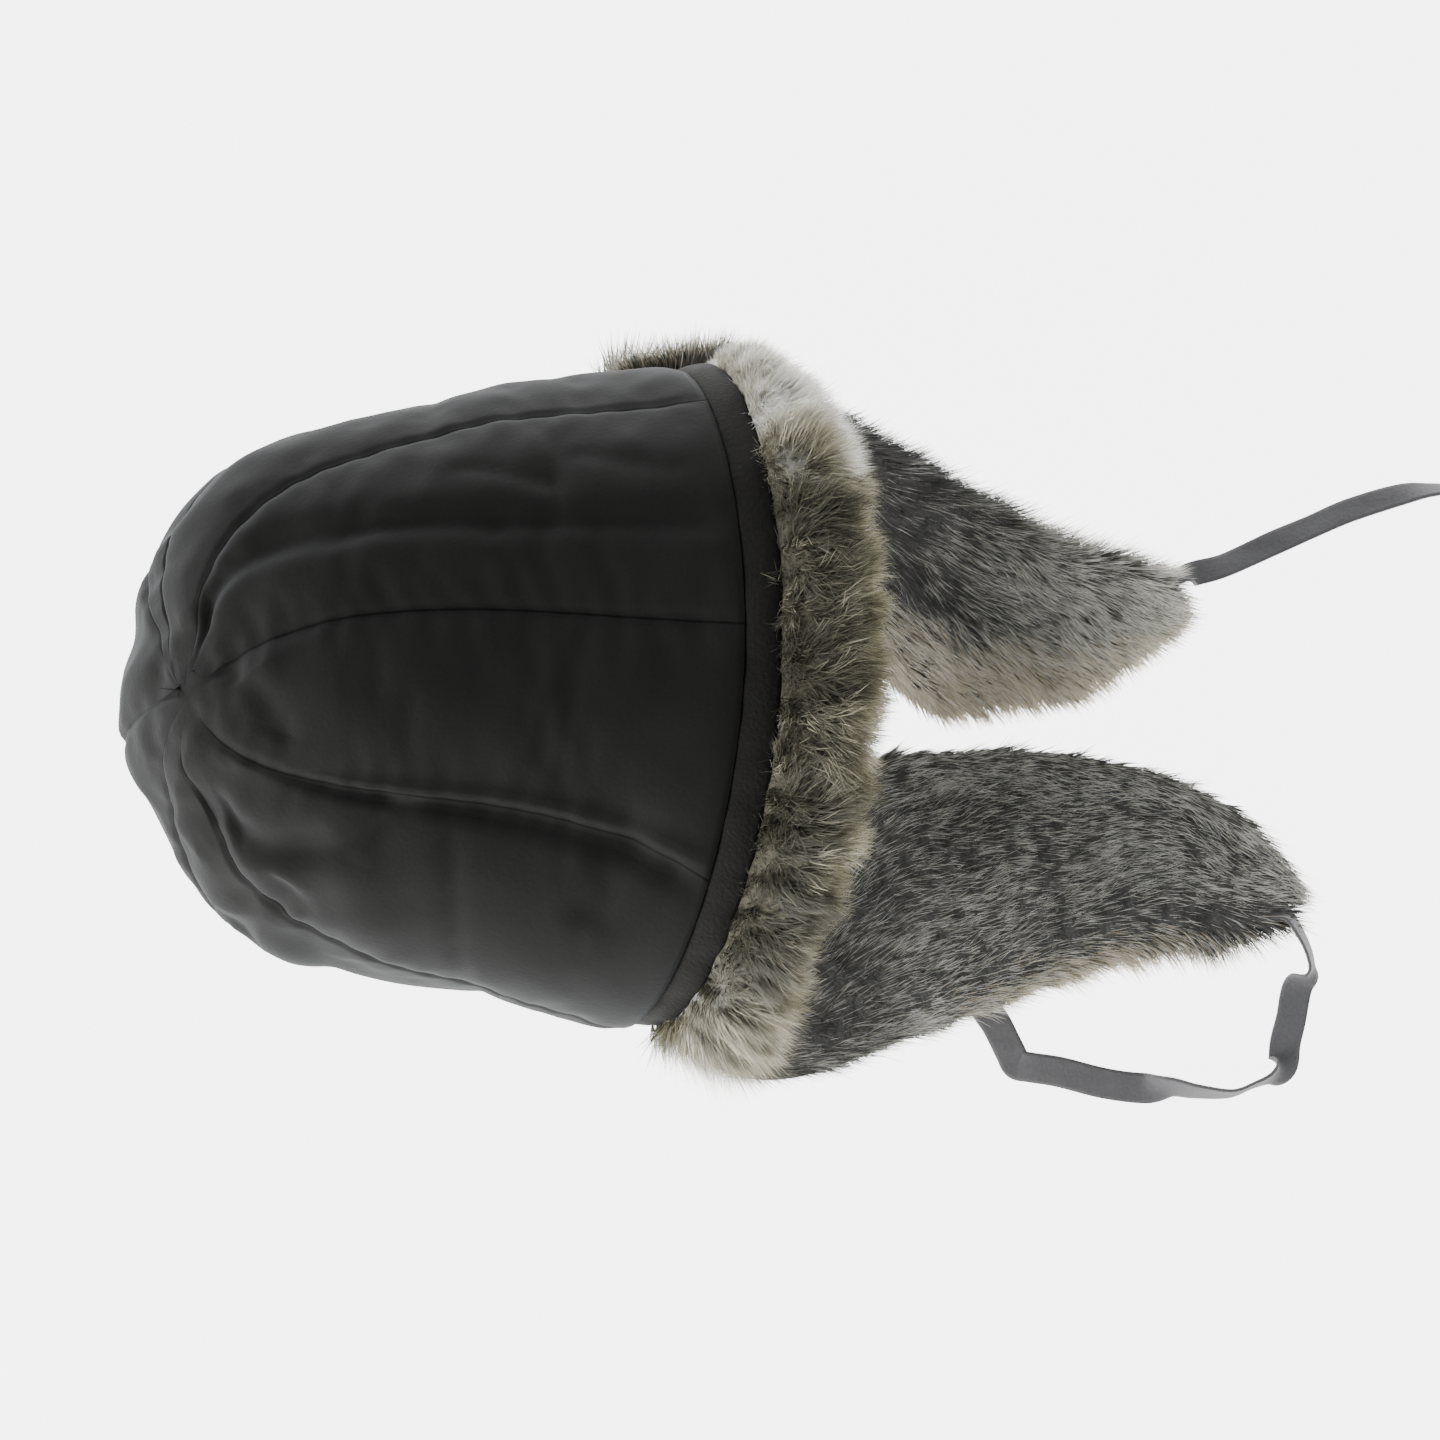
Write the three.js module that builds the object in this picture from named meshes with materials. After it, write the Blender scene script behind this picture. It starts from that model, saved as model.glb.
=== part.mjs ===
// A trapper-style ushanka lying on its turned-up front flap. Sizes are in millimetres.
// +X runs from the top of the crown to the tips of the ear flaps, +Y is the wearer's
// right side and +Z is up, towards the nape. The origin is on the table, under the front flap.
// Angles round the head are in degrees from the nape towards the wearer's left side.

import * as THREE from 'three';
import { mergeVertices } from 'three/addons/utils/BufferGeometryUtils.js';

const GAP = 0.3;
const FULL_TURN = 360;

// Head shape that the crown, the rim and the front flap share
const HEAD_CENTRE = new THREE.Vector3(-10, 6, 114);
const HEAD_LENGTH = 137;
const HEAD_HALF_WIDTH = 94.5;
const HEAD_HALF_HEIGHT = 92;
const LENGTH_POWER = 2.3;
const SECTION_POWER = 2.25;
const FLARE_PER_MM = 0.002;

// Rim line: how far forward it lies round the head
const RIM_MIDDLE_X = 23.75;
const NAPE_DROP = 21.5;
const SIDE_SKEW = 8;
const CENTRE_DROP = 5.75;

// Crown of eight puffed gores
const CROWN_WALL = 8;
const CROWN_TOP_TILT = 43;
const CROWN_STEPS = 16;
const STEPS_PER_GORE = 7;
const GORE_PUFF = 2.5;
const PUFF_POWER = 0.6;
const MM_PER_DEGREE = 1.65;

// Seams between gores: their angle at the rim, half way up and near the top of the crown
const SEAMS = [
  { atRim: -97, midway: -115, nearTop: -135 },
  { atRim: -53, midway: -74, nearTop: -98 },
  { atRim: -11, midway: -26, nearTop: -50 },
  { atRim: 28, midway: 28, nearTop: 50 },
  { atRim: 72, midway: 70, nearTop: 92 },
  { atRim: 118, midway: 116, nearTop: 135 },
  { atRim: 163, midway: 163, nearTop: 176 },
  { atRim: 219, midway: 213, nearTop: 212 },
];

// Soft folds in the cloth, each from one point to another, as parts of the way from the
// top of the crown to the rim and angles round the head
const FOLDS = [
  { start: 0.98, startAngle: -27, end: 0.65, endAngle: -41, depth: 1.6, width: 8 },
  { start: 0.65, startAngle: -41, end: 0.42, endAngle: -59, depth: 3.4, width: 8 },
  { start: 0.42, startAngle: -59, end: 0.14, endAngle: -97, depth: 3.6, width: 8 },
  { start: 0.48, startAngle: 34, end: 0.42, endAngle: 52, depth: 3.0, width: 7 },
  { start: 0.42, startAngle: 52, end: 0.24, endAngle: 85, depth: 3.0, width: 7 },
  { start: 0.42, startAngle: 116, end: 0.38, endAngle: 80, depth: 3.2, width: 7 },
  { start: 0.88, startAngle: 24, end: 0.85, endAngle: 40, depth: 1.8, width: 7 },
  { start: 0.1, startAngle: -40, end: 0.24, endAngle: 20, depth: 2.0, width: 7 },
  { start: 0.45, startAngle: 100, end: 0.75, endAngle: 96, depth: 3.5, width: 20 },
];

// Rim binding: how far ahead of the rim line and how far in each edge of its section lies
const BINDING_STEPS = 56;
const BINDING_SECTION = [
  { ahead: -10, outer: 1.5, inner: 8.5 },
  { ahead: -5, outer: 0, inner: 8.5 },
  { ahead: 0, outer: 1, inner: 8.5 },
];
const BINDING_WIDTH = 10;

// Fur band along the nape: the same, with its two ends
const NAPE_ENDS = { from: -79, to: 79 };
const NAPE_STEPS = 44;
const NAPE_SECTION = [
  { ahead: GAP, outer: 0, inner: 10 },
  { ahead: 7, outer: -5, inner: 11 },
  { ahead: 14, outer: -7, inner: 11 },
  { ahead: 20, outer: -4, inner: 8 },
];
const NAPE_LOCKS = [9, 3];
const NAPE_END_REACH = 0.45;

// Turned-up front flap, wrapped round the outside of the crown
const FRONT_ENDS = { from: 118, to: 252 };
const FRONT_AHEAD = -2;
const FRONT_LENGTH = 74;
const FRONT_CORNER = 0.72;
const FRONT_LIFT = 3.3;
const FRONT_FOLD_LIFT = -0.2;
const FRONT_FOLD_PART = 0.3;
const FRONT_CLOTH = 2;
const FRONT_FUR_GAP = 0.5;
const FRONT_ACROSS = 26;
const FRONT_ALONG = 7;
const FRONT_LOCKS = [9, 3];
const FRONT_PILE = [
  { angle: 118, pile: 11 },
  { angle: 150, pile: 16 },
  { angle: 180, pile: 24 },
  { angle: 212, pile: 24 },
  { angle: 235, pile: 19 },
  { angle: 252, pile: 17 },
];

// Ear flaps: cloth below, fur above
const FLAP_CLOTH = 2;
const FLAP_PILE = 12;
const FLAP_EDGE_PILE = 8;
const FLAP_ALONG = 18;
const FLAP_ACROSS = 8;
const FLAP_SAG = 1.5;
const FLAP_BASE_AHEAD = 1;
const FLAP_BASE_INSET = 1.5;
const FLAP_LOCKS = [8, 3];
const FIRST_ROW_WITH_LOCKS = 2;

// Sections of each ear flap from the rim to its tip, each with its outer and inner edge
const RIGHT_BASE = { outer: -82, inner: -135 };
const RIGHT_SECTIONS = [
  { outer: [46, 103, 124], inner: [40, 60, 28] },
  { outer: [67, 99, 112], inner: [66, 38, 11] },
  { outer: [86, 90, 98], inner: [94, 21, 3] },
  { outer: [106, 80, 83], inner: [116, 11, 1] },
  { outer: [128, 70, 66], inner: [139, 9, 0] },
  { outer: [150, 61, 48], inner: [161, 13, 0] },
  { outer: [172, 57, 29], inner: [175, 22, 0] },
  { outer: [190, 49, 3], inner: [190, 34, 0] },
];
const LEFT_BASE = { outer: 82, inner: 135 };
const LEFT_SECTIONS = [
  { outer: [38, -101, 121], inner: [28, -60, 28] },
  { outer: [60, -108, 110], inner: [62, -37, 10] },
  { outer: [85, -108, 90], inner: [92, -22, 2] },
  { outer: [108, -103, 68], inner: [118, -19, 1] },
  { outer: [134, -95, 47], inner: [146, -18, 0] },
  { outer: [162, -85, 30], inner: [175, -21, 0] },
  { outer: [190, -79.5, 17], inner: [200, -30, 0] },
  { outer: [213, -78, 9], inner: [219, -41, 0] },
  { outer: [233, -73, 2], inner: [233, -60, 0] },
];

// Flat ties on the table, from the tip of each ear flap to the free end
const TIE_WIDTH = 9.5;
const TIE_THICKNESS = 1.4;
const TIE_STEPS = 64;
const RIGHT_TIE_ROUTE = [
  [190.6, 41], [195, 41.4], [203, 51.5], [214, 58], [235, 65], [253, 71.5], [270, 77.5],
  [289, 81.5], [307, 81], [323, 75], [334, 64], [339, 50], [337.5, 31],
];
const LEFT_TIE_ROUTE = [
  [233.6, -66], [238, -66.4], [245.5, -76], [247.8, -90], [243, -100], [240.5, -113], [236, -123],
  [227, -130], [214, -133.5], [200, -134], [182, -133.5], [163, -130], [146, -125],
  [137, -118], [132, -107], [128, -98],
];

// Fur stands in locks of five heights, taken in turn
const LOCK_HEIGHTS = [0, 1.8, 0.6, 2.4, 1.2];
const LOCK_TIP_THICKNESS = 1.6;
const LOWEST_LOCK = 2.2;

function radians(degrees) {
  return THREE.MathUtils.degToRad(degrees);
}

// Value of a table's column between two rows
function fromTable(rows, key, at, column) {
  const last = rows.length - 1;
  let row = 0;
  while (row < last - 1 && rows[row + 1][key] < at) {
    row += 1;
  }
  const span = rows[row + 1][key] - rows[row][key];
  const part = THREE.MathUtils.clamp((at - rows[row][key]) / span, 0, 1);
  return THREE.MathUtils.lerp(rows[row][column], rows[row + 1][column], part);
}

// Head shape

function sectionSize(y, z, inset) {
  const across = Math.abs(y) / (HEAD_HALF_WIDTH - inset);
  const up = Math.abs(z) / (HEAD_HALF_HEIGHT - inset);
  return (across ** SECTION_POWER + up ** SECTION_POWER) ** (1 / SECTION_POWER);
}

function rimX(angle) {
  const turn = radians(angle);
  const drop = NAPE_DROP * Math.cos(turn) + CENTRE_DROP * Math.cos(2 * turn);
  return RIM_MIDDLE_X + drop - SIDE_SKEW * Math.sin(turn);
}

// Point of the head shape at one x and angle, moved inwards by the inset
function skinPoint(x, angle, inset) {
  const along = x - HEAD_CENTRE.x;
  const part = Math.min(Math.abs(along) / (HEAD_LENGTH - inset), 1);
  const taper = (1 - part ** LENGTH_POWER) ** (1 / LENGTH_POWER);
  const size = along < 0 ? taper : 1 + FLARE_PER_MM * along;
  const y = -Math.sin(radians(angle));
  const z = Math.cos(radians(angle));
  const reach = size / sectionSize(y, z, inset);
  return new THREE.Vector3(x, HEAD_CENTRE.y + y * reach, HEAD_CENTRE.z + z * reach);
}

function rimPoint(angle, ahead, inset) {
  return skinPoint(rimX(angle) + ahead, angle, inset);
}

// Point of the head shape in one direction from its centre
function pointTowards(direction, inset, lift) {
  const section = sectionSize(direction.y, direction.z, inset);
  let reach = 1 / (section - FLARE_PER_MM * direction.x);
  if (direction.x < 0) {
    const along = Math.abs(direction.x) / (HEAD_LENGTH - inset);
    reach = (along ** LENGTH_POWER + section ** LENGTH_POWER) ** (-1 / LENGTH_POWER);
  }
  return HEAD_CENTRE.clone().addScaledVector(direction, reach + lift);
}

// Solids from two facing grids of points

function pushTriangle(positions, a, b, c) {
  if (a.equals(b) || b.equals(c) || c.equals(a)) {
    return;
  }
  positions.push(...a.toArray(), ...b.toArray(), ...c.toArray());
}

function pushQuad(positions, a, b, c, d) {
  pushTriangle(positions, a, b, c);
  pushTriangle(positions, a, c, d);
}

// Closes two grids of rows and columns into one solid, as a ring where the columns wrap
function solidBetween(outer, inner, wraps) {
  const positions = [];
  const rows = outer.length;
  const columns = outer[0].length;
  const lastColumn = wraps ? columns : columns - 1;
  for (let i = 0; i < rows - 1; i += 1) {
    for (let j = 0; j < lastColumn; j += 1) {
      const k = (j + 1) % columns;
      pushQuad(positions, outer[i][j], outer[i + 1][j], outer[i + 1][k], outer[i][k]);
      pushQuad(positions, inner[i][k], inner[i + 1][k], inner[i + 1][j], inner[i][j]);
    }
  }
  for (let j = 0; j < lastColumn; j += 1) {
    const k = (j + 1) % columns;
    pushQuad(positions, outer[0][k], inner[0][k], inner[0][j], outer[0][j]);
    pushQuad(positions, outer[rows - 1][j], inner[rows - 1][j], inner[rows - 1][k], outer[rows - 1][k]);
  }
  if (!wraps) {
    for (let i = 0; i < rows - 1; i += 1) {
      pushQuad(positions, outer[i][0], inner[i][0], inner[i + 1][0], outer[i + 1][0]);
      const end = columns - 1;
      pushQuad(positions, outer[i + 1][end], inner[i + 1][end], inner[i][end], outer[i][end]);
    }
  }
  return meshGeometry(positions);
}

function meshGeometry(positions) {
  const geometry = new THREE.BufferGeometry();
  geometry.setAttribute('position', new THREE.Float32BufferAttribute(positions, 3));
  const merged = mergeVertices(geometry, 1e-4);
  if (volumeOf(merged) < 0) {
    turnInsideOut(merged);
  }
  merged.computeVertexNormals();
  return merged;
}

function volumeOf(geometry) {
  const points = geometry.getAttribute('position');
  const index = geometry.getIndex();
  const corners = [new THREE.Vector3(), new THREE.Vector3(), new THREE.Vector3()];
  let volume = 0;
  for (let i = 0; i < index.count; i += 3) {
    corners.forEach((corner, k) => corner.fromBufferAttribute(points, index.getX(i + k)));
    volume += corners[0].dot(corners[1].clone().cross(corners[2])) / 6;
  }
  return volume;
}

function turnInsideOut(geometry) {
  const index = geometry.getIndex();
  for (let i = 0; i < index.count; i += 3) {
    const second = index.getX(i + 1);
    index.setX(i + 1, index.getX(i + 2));
    index.setX(i + 2, second);
  }
}

// Crown

// Angle of a seam: along goes from 0 at the top of the crown to 1 at the rim
function seamAngle(seam, along) {
  const rimPart = 2 * (along - 0.5) * along;
  const middlePart = 4 * along * (1 - along);
  const topPart = 2 * (along - 0.5) * (along - 1);
  return seam.atRim * rimPart + seam.midway * middlePart + seam.nearTop * topPart;
}

// Distance on the cloth from a point to a fold
function distanceToFold(fold, along, angle) {
  const scaleAlong = HEAD_LENGTH;
  const start = new THREE.Vector2(fold.start * scaleAlong, fold.startAngle * MM_PER_DEGREE);
  const end = new THREE.Vector2(fold.end * scaleAlong, fold.endAngle * MM_PER_DEGREE);
  const point = new THREE.Vector2(along * scaleAlong, angle * MM_PER_DEGREE);
  const line = end.clone().sub(start);
  const part = THREE.MathUtils.clamp(point.clone().sub(start).dot(line) / line.lengthSq(), 0, 1);
  return point.distanceTo(start.addScaledVector(line, part));
}

function foldDepth(along, angle) {
  let deepest = 0;
  for (const fold of FOLDS) {
    const distance = distanceToFold(fold, along, angle) / fold.width;
    deepest = Math.max(deepest, fold.depth * Math.exp(-distance * distance));
  }
  return deepest;
}

// How far the cloth stands out of the head shape, with the gore's puff and the folds
function clothRelief(along, acrossGore, angle) {
  const fade = Math.sin(Math.PI * along) ** 0.5;
  const puff = GORE_PUFF * Math.sin(Math.PI * acrossGore) ** PUFF_POWER;
  return fade * (puff - foldDepth(along, angle));
}

function crownPoint(along, angle, inset, lift) {
  const scale = new THREE.Vector3(
    HEAD_LENGTH - inset,
    HEAD_HALF_WIDTH - inset,
    HEAD_HALF_HEIGHT - inset,
  );
  const tilt = radians(CROWN_TOP_TILT);
  const top = new THREE.Vector3(-Math.cos(tilt), 0, Math.sin(tilt));
  const edge = rimPoint(angle, -BINDING_WIDTH - GAP, inset).sub(HEAD_CENTRE).divide(scale).normalize();
  const turn = top.angleTo(edge) * along;
  const axis = top.clone().cross(edge).normalize();
  const direction = top.clone().applyAxisAngle(axis, turn).multiply(scale).normalize();
  return pointTowards(direction, inset, lift);
}

function makeCrown() {
  const outer = [];
  const inner = [];
  for (let i = 0; i <= CROWN_STEPS; i += 1) {
    const along = i / CROWN_STEPS;
    const outerRow = [];
    const innerRow = [];
    SEAMS.forEach((seam, k) => {
      const next = SEAMS[(k + 1) % SEAMS.length];
      const turn = k + 1 === SEAMS.length ? FULL_TURN : 0;
      for (let j = 0; j < STEPS_PER_GORE; j += 1) {
        const across = j / STEPS_PER_GORE;
        const here = seamAngle(seam, along);
        const angle = THREE.MathUtils.lerp(here, seamAngle(next, along) + turn, across);
        const lift = clothRelief(along, across, angle);
        outerRow.push(crownPoint(along, angle, 0, lift));
        innerRow.push(crownPoint(along, angle, CROWN_WALL, 0));
      }
    });
    outer.push(outerRow);
    inner.push(innerRow);
  }
  joinTop(outer[0]);
  joinTop(inner[0]);
  return solidBetween(outer, inner, true);
}

// The gores meet in one point at the top of the crown
function joinTop(row) {
  const top = row[0];
  row.forEach((point) => point.copy(top));
}

// Rim binding

function makeBinding() {
  const outer = [];
  const inner = [];
  for (const edge of BINDING_SECTION) {
    const outerRow = [];
    const innerRow = [];
    for (let j = 0; j < BINDING_STEPS; j += 1) {
      const angle = FULL_TURN * j / BINDING_STEPS;
      outerRow.push(rimPoint(angle, edge.ahead, edge.outer));
      innerRow.push(rimPoint(angle, edge.ahead, edge.inner));
    }
    outer.push(outerRow);
    inner.push(innerRow);
  }
  return solidBetween(outer, inner, true);
}

// Fur

function lockHeight(i, j) {
  return LOCK_HEIGHTS[(i + 2 * j) % LOCK_HEIGHTS.length];
}

// Pointed lock past the edge of a pad, level with the middle of the fur there
function lockTip(edge, next, length) {
  const middle = edge.low.clone().lerp(edge.top, 0.5);
  const middleInside = next.low.clone().lerp(next.top, 0.5);
  const outwards = middle.clone().sub(middleInside).normalize();
  const rise = edge.top.clone().sub(edge.low).normalize();
  const tip = middle.addScaledVector(outwards, length);
  const low = tip.clone().addScaledVector(rise, -LOCK_TIP_THICKNESS / 2);
  const top = tip.clone().addScaledVector(rise, LOCK_TIP_THICKNESS / 2);
  low.z = Math.max(low.z, LOWEST_LOCK);
  top.z = Math.max(top.z, low.z + LOCK_TIP_THICKNESS);
  return { low, top };
}

// Adds a lock past both ends of each row, from the first row that has them
function addSideLocks(rows, lengths, firstRow) {
  return rows.map((row, i) => {
    const grown = THREE.MathUtils.clamp((i - firstRow) / 2, 0.1, 1);
    const length = lengths[i % lengths.length] * grown;
    const last = row.length - 1;
    return [lockTip(row[0], row[1], length), ...row, lockTip(row[last], row[last - 1], length)];
  });
}

// Adds a row of locks past the last row
function addEndLocks(rows, lengths) {
  const last = rows[rows.length - 1];
  const before = rows[rows.length - 2];
  const locks = last.map((point, j) => lockTip(point, before[j], lengths[j % lengths.length]));
  return [...rows, locks];
}

function furPad(rows) {
  const low = rows.map((row) => row.map((point) => point.low));
  const top = rows.map((row) => row.map((point) => point.top));
  return solidBetween(low, top, false);
}

function makeNapeFur() {
  const rows = NAPE_SECTION.map((edge, i) => {
    const row = [];
    for (let j = 0; j <= NAPE_STEPS; j += 1) {
      const angle = THREE.MathUtils.lerp(NAPE_ENDS.from, NAPE_ENDS.to, j / NAPE_STEPS);
      const reach = THREE.MathUtils.lerp(NAPE_END_REACH, 1, Math.cos(radians(angle)));
      const raised = i === 0 ? 0 : lockHeight(i, j) - edge.outer;
      const ahead = i === 0 ? edge.ahead : edge.ahead * reach;
      const low = rimPoint(angle, ahead, edge.inner);
      const top = rimPoint(angle, ahead, -raised * reach);
      row.push({ low, top });
    }
    return row;
  });
  return furPad(addEndLocks(rows, NAPE_LOCKS));
}

// Front flap

// Place on the front flap: across from its left to its right end, along from the fold at the rim
function frontPlace(across, along) {
  const angle = THREE.MathUtils.lerp(FRONT_ENDS.from, FRONT_ENDS.to, across);
  const corner = FRONT_CORNER * Math.abs(2 * across - 1) ** 3;
  const x = rimX(angle) + FRONT_AHEAD - FRONT_LENGTH * along * (1 - corner);
  const lift = THREE.MathUtils.lerp(FRONT_FOLD_LIFT, FRONT_LIFT, Math.min(along / FRONT_FOLD_PART, 1));
  return { angle, x, lift };
}

function makeFrontFlap() {
  const low = [];
  const top = [];
  for (let i = 0; i <= FRONT_ALONG; i += 1) {
    const lowRow = [];
    const topRow = [];
    for (let j = 0; j <= FRONT_ACROSS; j += 1) {
      const place = frontPlace(j / FRONT_ACROSS, i / FRONT_ALONG);
      lowRow.push(skinPoint(place.x, place.angle, -place.lift));
      topRow.push(skinPoint(place.x, place.angle, -place.lift - FRONT_CLOTH));
    }
    low.push(lowRow);
    top.push(topRow);
  }
  return solidBetween(low, top, false);
}

function makeFrontFur() {
  let rows = [];
  for (let i = 0; i <= FRONT_ALONG; i += 1) {
    const row = [];
    for (let j = 0; j <= FRONT_ACROSS; j += 1) {
      const place = frontPlace(j / FRONT_ACROSS, i / FRONT_ALONG);
      const root = place.lift + FRONT_CLOTH + FRONT_FUR_GAP;
      const pile = fromTable(FRONT_PILE, 'angle', place.angle, 'pile') - lockHeight(i, j);
      const low = skinPoint(place.x, place.angle, -root);
      const top = skinPoint(place.x, place.angle, -root - pile);
      top.z = Math.max(top.z, 0);
      row.push({ low, top });
    }
    rows.push(row);
  }
  rows = addEndLocks(rows, FRONT_LOCKS);
  return furPad(addSideLocks(rows, FRONT_LOCKS, -FRONT_ALONG));
}

// Ear flaps

// Point on the outer face of an ear flap's section: across from its outer to its inner edge
function sectionPoint(section, across) {
  const outer = new THREE.Vector3(...section.outer);
  const inner = new THREE.Vector3(...section.inner);
  const point = outer.clone().lerp(inner, across);
  point.z = THREE.MathUtils.lerp(inner.z, outer.z, (1 - across) ** FLAP_SAG);
  return point;
}

// Line along an ear flap from the rim to its tip
function flapLine(base, sections, across) {
  const angle = THREE.MathUtils.lerp(base.outer, base.inner, across);
  const start = rimPoint(angle, FLAP_BASE_AHEAD, FLAP_BASE_INSET);
  const points = sections.map((section) => sectionPoint(section, across));
  return new THREE.CatmullRomCurve3([start, ...points]);
}

// Points on the outer face of an ear flap with the direction towards its fur
function flapGrid(base, sections, side) {
  const lines = [];
  for (let j = 0; j <= FLAP_ACROSS; j += 1) {
    lines.push(flapLine(base, sections, j / FLAP_ACROSS));
  }
  const grid = [];
  for (let i = 0; i <= FLAP_ALONG; i += 1) {
    grid.push(lines.map((line) => {
      const point = line.getPoint(i / FLAP_ALONG);
      point.z = Math.max(point.z, 0);
      return point;
    }));
  }
  return grid.map((row, i) => row.map((point, j) => {
    const ahead = grid[Math.min(i + 1, FLAP_ALONG)][j];
    const behind = grid[Math.max(i - 1, 0)][j];
    const inwards = row[Math.min(j + 1, FLAP_ACROSS)];
    const outwards = row[Math.max(j - 1, 0)];
    const along = ahead.clone().sub(behind);
    const across = inwards.clone().sub(outwards);
    const normal = along.cross(across).multiplyScalar(side);
    if (i === 0) {
      normal.setX(0);
    }
    return { point, normal: normal.normalize() };
  }));
}

function liftedPoint(place, lift) {
  return place.point.clone().addScaledVector(place.normal, lift);
}

function makeFlapCloth(grid) {
  const low = grid.map((row) => row.map((place) => place.point));
  const top = grid.map((row) => row.map((place) => liftedPoint(place, FLAP_CLOTH)));
  return solidBetween(low, top, false);
}

function makeFlapFur(grid) {
  const root = FLAP_CLOTH + GAP;
  const rows = grid.map((row, i) => row.map((place, j) => {
    const atEdge = j === 0 || j === FLAP_ACROSS || i === FLAP_ALONG;
    const pile = (atEdge ? FLAP_EDGE_PILE : FLAP_PILE) + lockHeight(i, j);
    return { low: liftedPoint(place, root), top: liftedPoint(place, root + pile) };
  }));
  return furPad(addSideLocks(addEndLocks(rows, FLAP_LOCKS), FLAP_LOCKS, FIRST_ROW_WITH_LOCKS));
}

// Ties

function makeTie(route) {
  const middle = TIE_THICKNESS / 2;
  const path = new THREE.CatmullRomCurve3(route.map(([x, y]) => new THREE.Vector3(x, y, middle)));
  const section = new THREE.Shape();
  section.moveTo(-middle, -TIE_WIDTH / 2);
  section.lineTo(middle, -TIE_WIDTH / 2);
  section.lineTo(middle, TIE_WIDTH / 2);
  section.lineTo(-middle, TIE_WIDTH / 2);
  section.closePath();
  return new THREE.ExtrudeGeometry(section, { steps: TIE_STEPS, extrudePath: path });
}

// Materials

function clothMaterial() {
  return new THREE.MeshStandardMaterial({ name: 'shell_cloth', color: 0x2b2d2f, roughness: 0.55 });
}

function bindingMaterial() {
  return new THREE.MeshStandardMaterial({ name: 'binding_cloth', color: 0x191a1b, roughness: 0.8 });
}

function bandFurMaterial() {
  return new THREE.MeshStandardMaterial({ name: 'light_fur', color: 0xa29a86, roughness: 0.95 });
}

function flapFurMaterial() {
  return new THREE.MeshStandardMaterial({ name: 'grey_fur', color: 0x76746d, roughness: 0.95 });
}

function tieMaterial() {
  return new THREE.MeshStandardMaterial({ name: 'tie_cloth', color: 0x2e2f31, roughness: 0.85 });
}

function addPiece(group, name, geometry, material) {
  const mesh = new THREE.Mesh(geometry, material);
  mesh.name = name;
  group.add(mesh);
}

function makeHat() {
  const hat = new THREE.Group();
  const cloth = clothMaterial();
  const furLight = bandFurMaterial();
  const furGrey = flapFurMaterial();
  const ties = tieMaterial();
  const rightGrid = flapGrid(RIGHT_BASE, RIGHT_SECTIONS, -1);
  const leftGrid = flapGrid(LEFT_BASE, LEFT_SECTIONS, 1);
  addPiece(hat, 'crown', makeCrown(), cloth);
  addPiece(hat, 'rim_binding', makeBinding(), bindingMaterial());
  addPiece(hat, 'nape_fur', makeNapeFur(), furLight);
  addPiece(hat, 'front_flap', makeFrontFlap(), cloth);
  addPiece(hat, 'front_flap_fur', makeFrontFur(), furLight);
  addPiece(hat, 'right_flap', makeFlapCloth(rightGrid), cloth);
  addPiece(hat, 'right_flap_fur', makeFlapFur(rightGrid), furGrey);
  addPiece(hat, 'left_flap', makeFlapCloth(leftGrid), cloth);
  addPiece(hat, 'left_flap_fur', makeFlapFur(leftGrid), furGrey);
  addPiece(hat, 'right_tie', makeTie(RIGHT_TIE_ROUTE), ties);
  addPiece(hat, 'left_tie', makeTie(LEFT_TIE_ROUTE), ties);
  return hat;
}

export default makeHat();
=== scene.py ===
"""Dresses the ushanka's frame: padded nylon crown, deep fur and flat ties, on a white table."""

import bpy
import numpy as np
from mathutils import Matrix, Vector


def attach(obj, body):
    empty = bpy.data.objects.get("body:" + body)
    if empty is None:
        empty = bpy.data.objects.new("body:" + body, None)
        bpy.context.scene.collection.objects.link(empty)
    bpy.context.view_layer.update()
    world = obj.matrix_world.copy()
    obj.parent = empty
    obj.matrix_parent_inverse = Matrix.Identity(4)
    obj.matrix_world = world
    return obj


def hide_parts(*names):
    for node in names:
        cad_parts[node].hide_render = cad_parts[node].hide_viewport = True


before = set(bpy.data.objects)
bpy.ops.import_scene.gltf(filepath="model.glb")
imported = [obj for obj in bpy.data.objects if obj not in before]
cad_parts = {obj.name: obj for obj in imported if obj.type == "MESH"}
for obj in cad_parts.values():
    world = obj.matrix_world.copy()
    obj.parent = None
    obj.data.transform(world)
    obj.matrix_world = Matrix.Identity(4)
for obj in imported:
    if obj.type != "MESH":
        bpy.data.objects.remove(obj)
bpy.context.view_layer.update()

# White table and wall
STAGE_RADIUS = 3.0
STAGE_SIDES = 96
STAGE_GREY = (0.12, 0.12, 0.12, 1.0)
WALL_HEIGHT = 2.6
TABLE_GLOW = 5.6
WALL_GLOW = 0.8
WORLD_COLOUR = (0.82, 0.91, 1.0, 1.0)
WORLD_STRENGTH = 0.2
LAMP_AIM = (0.03, 0.0, 0.1)
LAMPS = [
    {"place": (-0.88, -0.62, 0.42), "size": 0.8, "power": 24.0},
    {"place": (0.75, 0.1, 0.75), "size": 0.6, "power": 3.5},
]

# Shapes are worked out in millimetres and written to the meshes in metres.
# Angles round the head are in degrees from the nape towards the wearer's left side.
MM = 0.001
FULL_TURN = 360.0
TINY = 1e-9

# Camera straight above the hat, as in the photograph
CAMERA_PLACE = (0.035, 0.0, 0.8)
CAMERA_LENS = 55.3
CAMERA_SENSOR = 36.0

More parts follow.
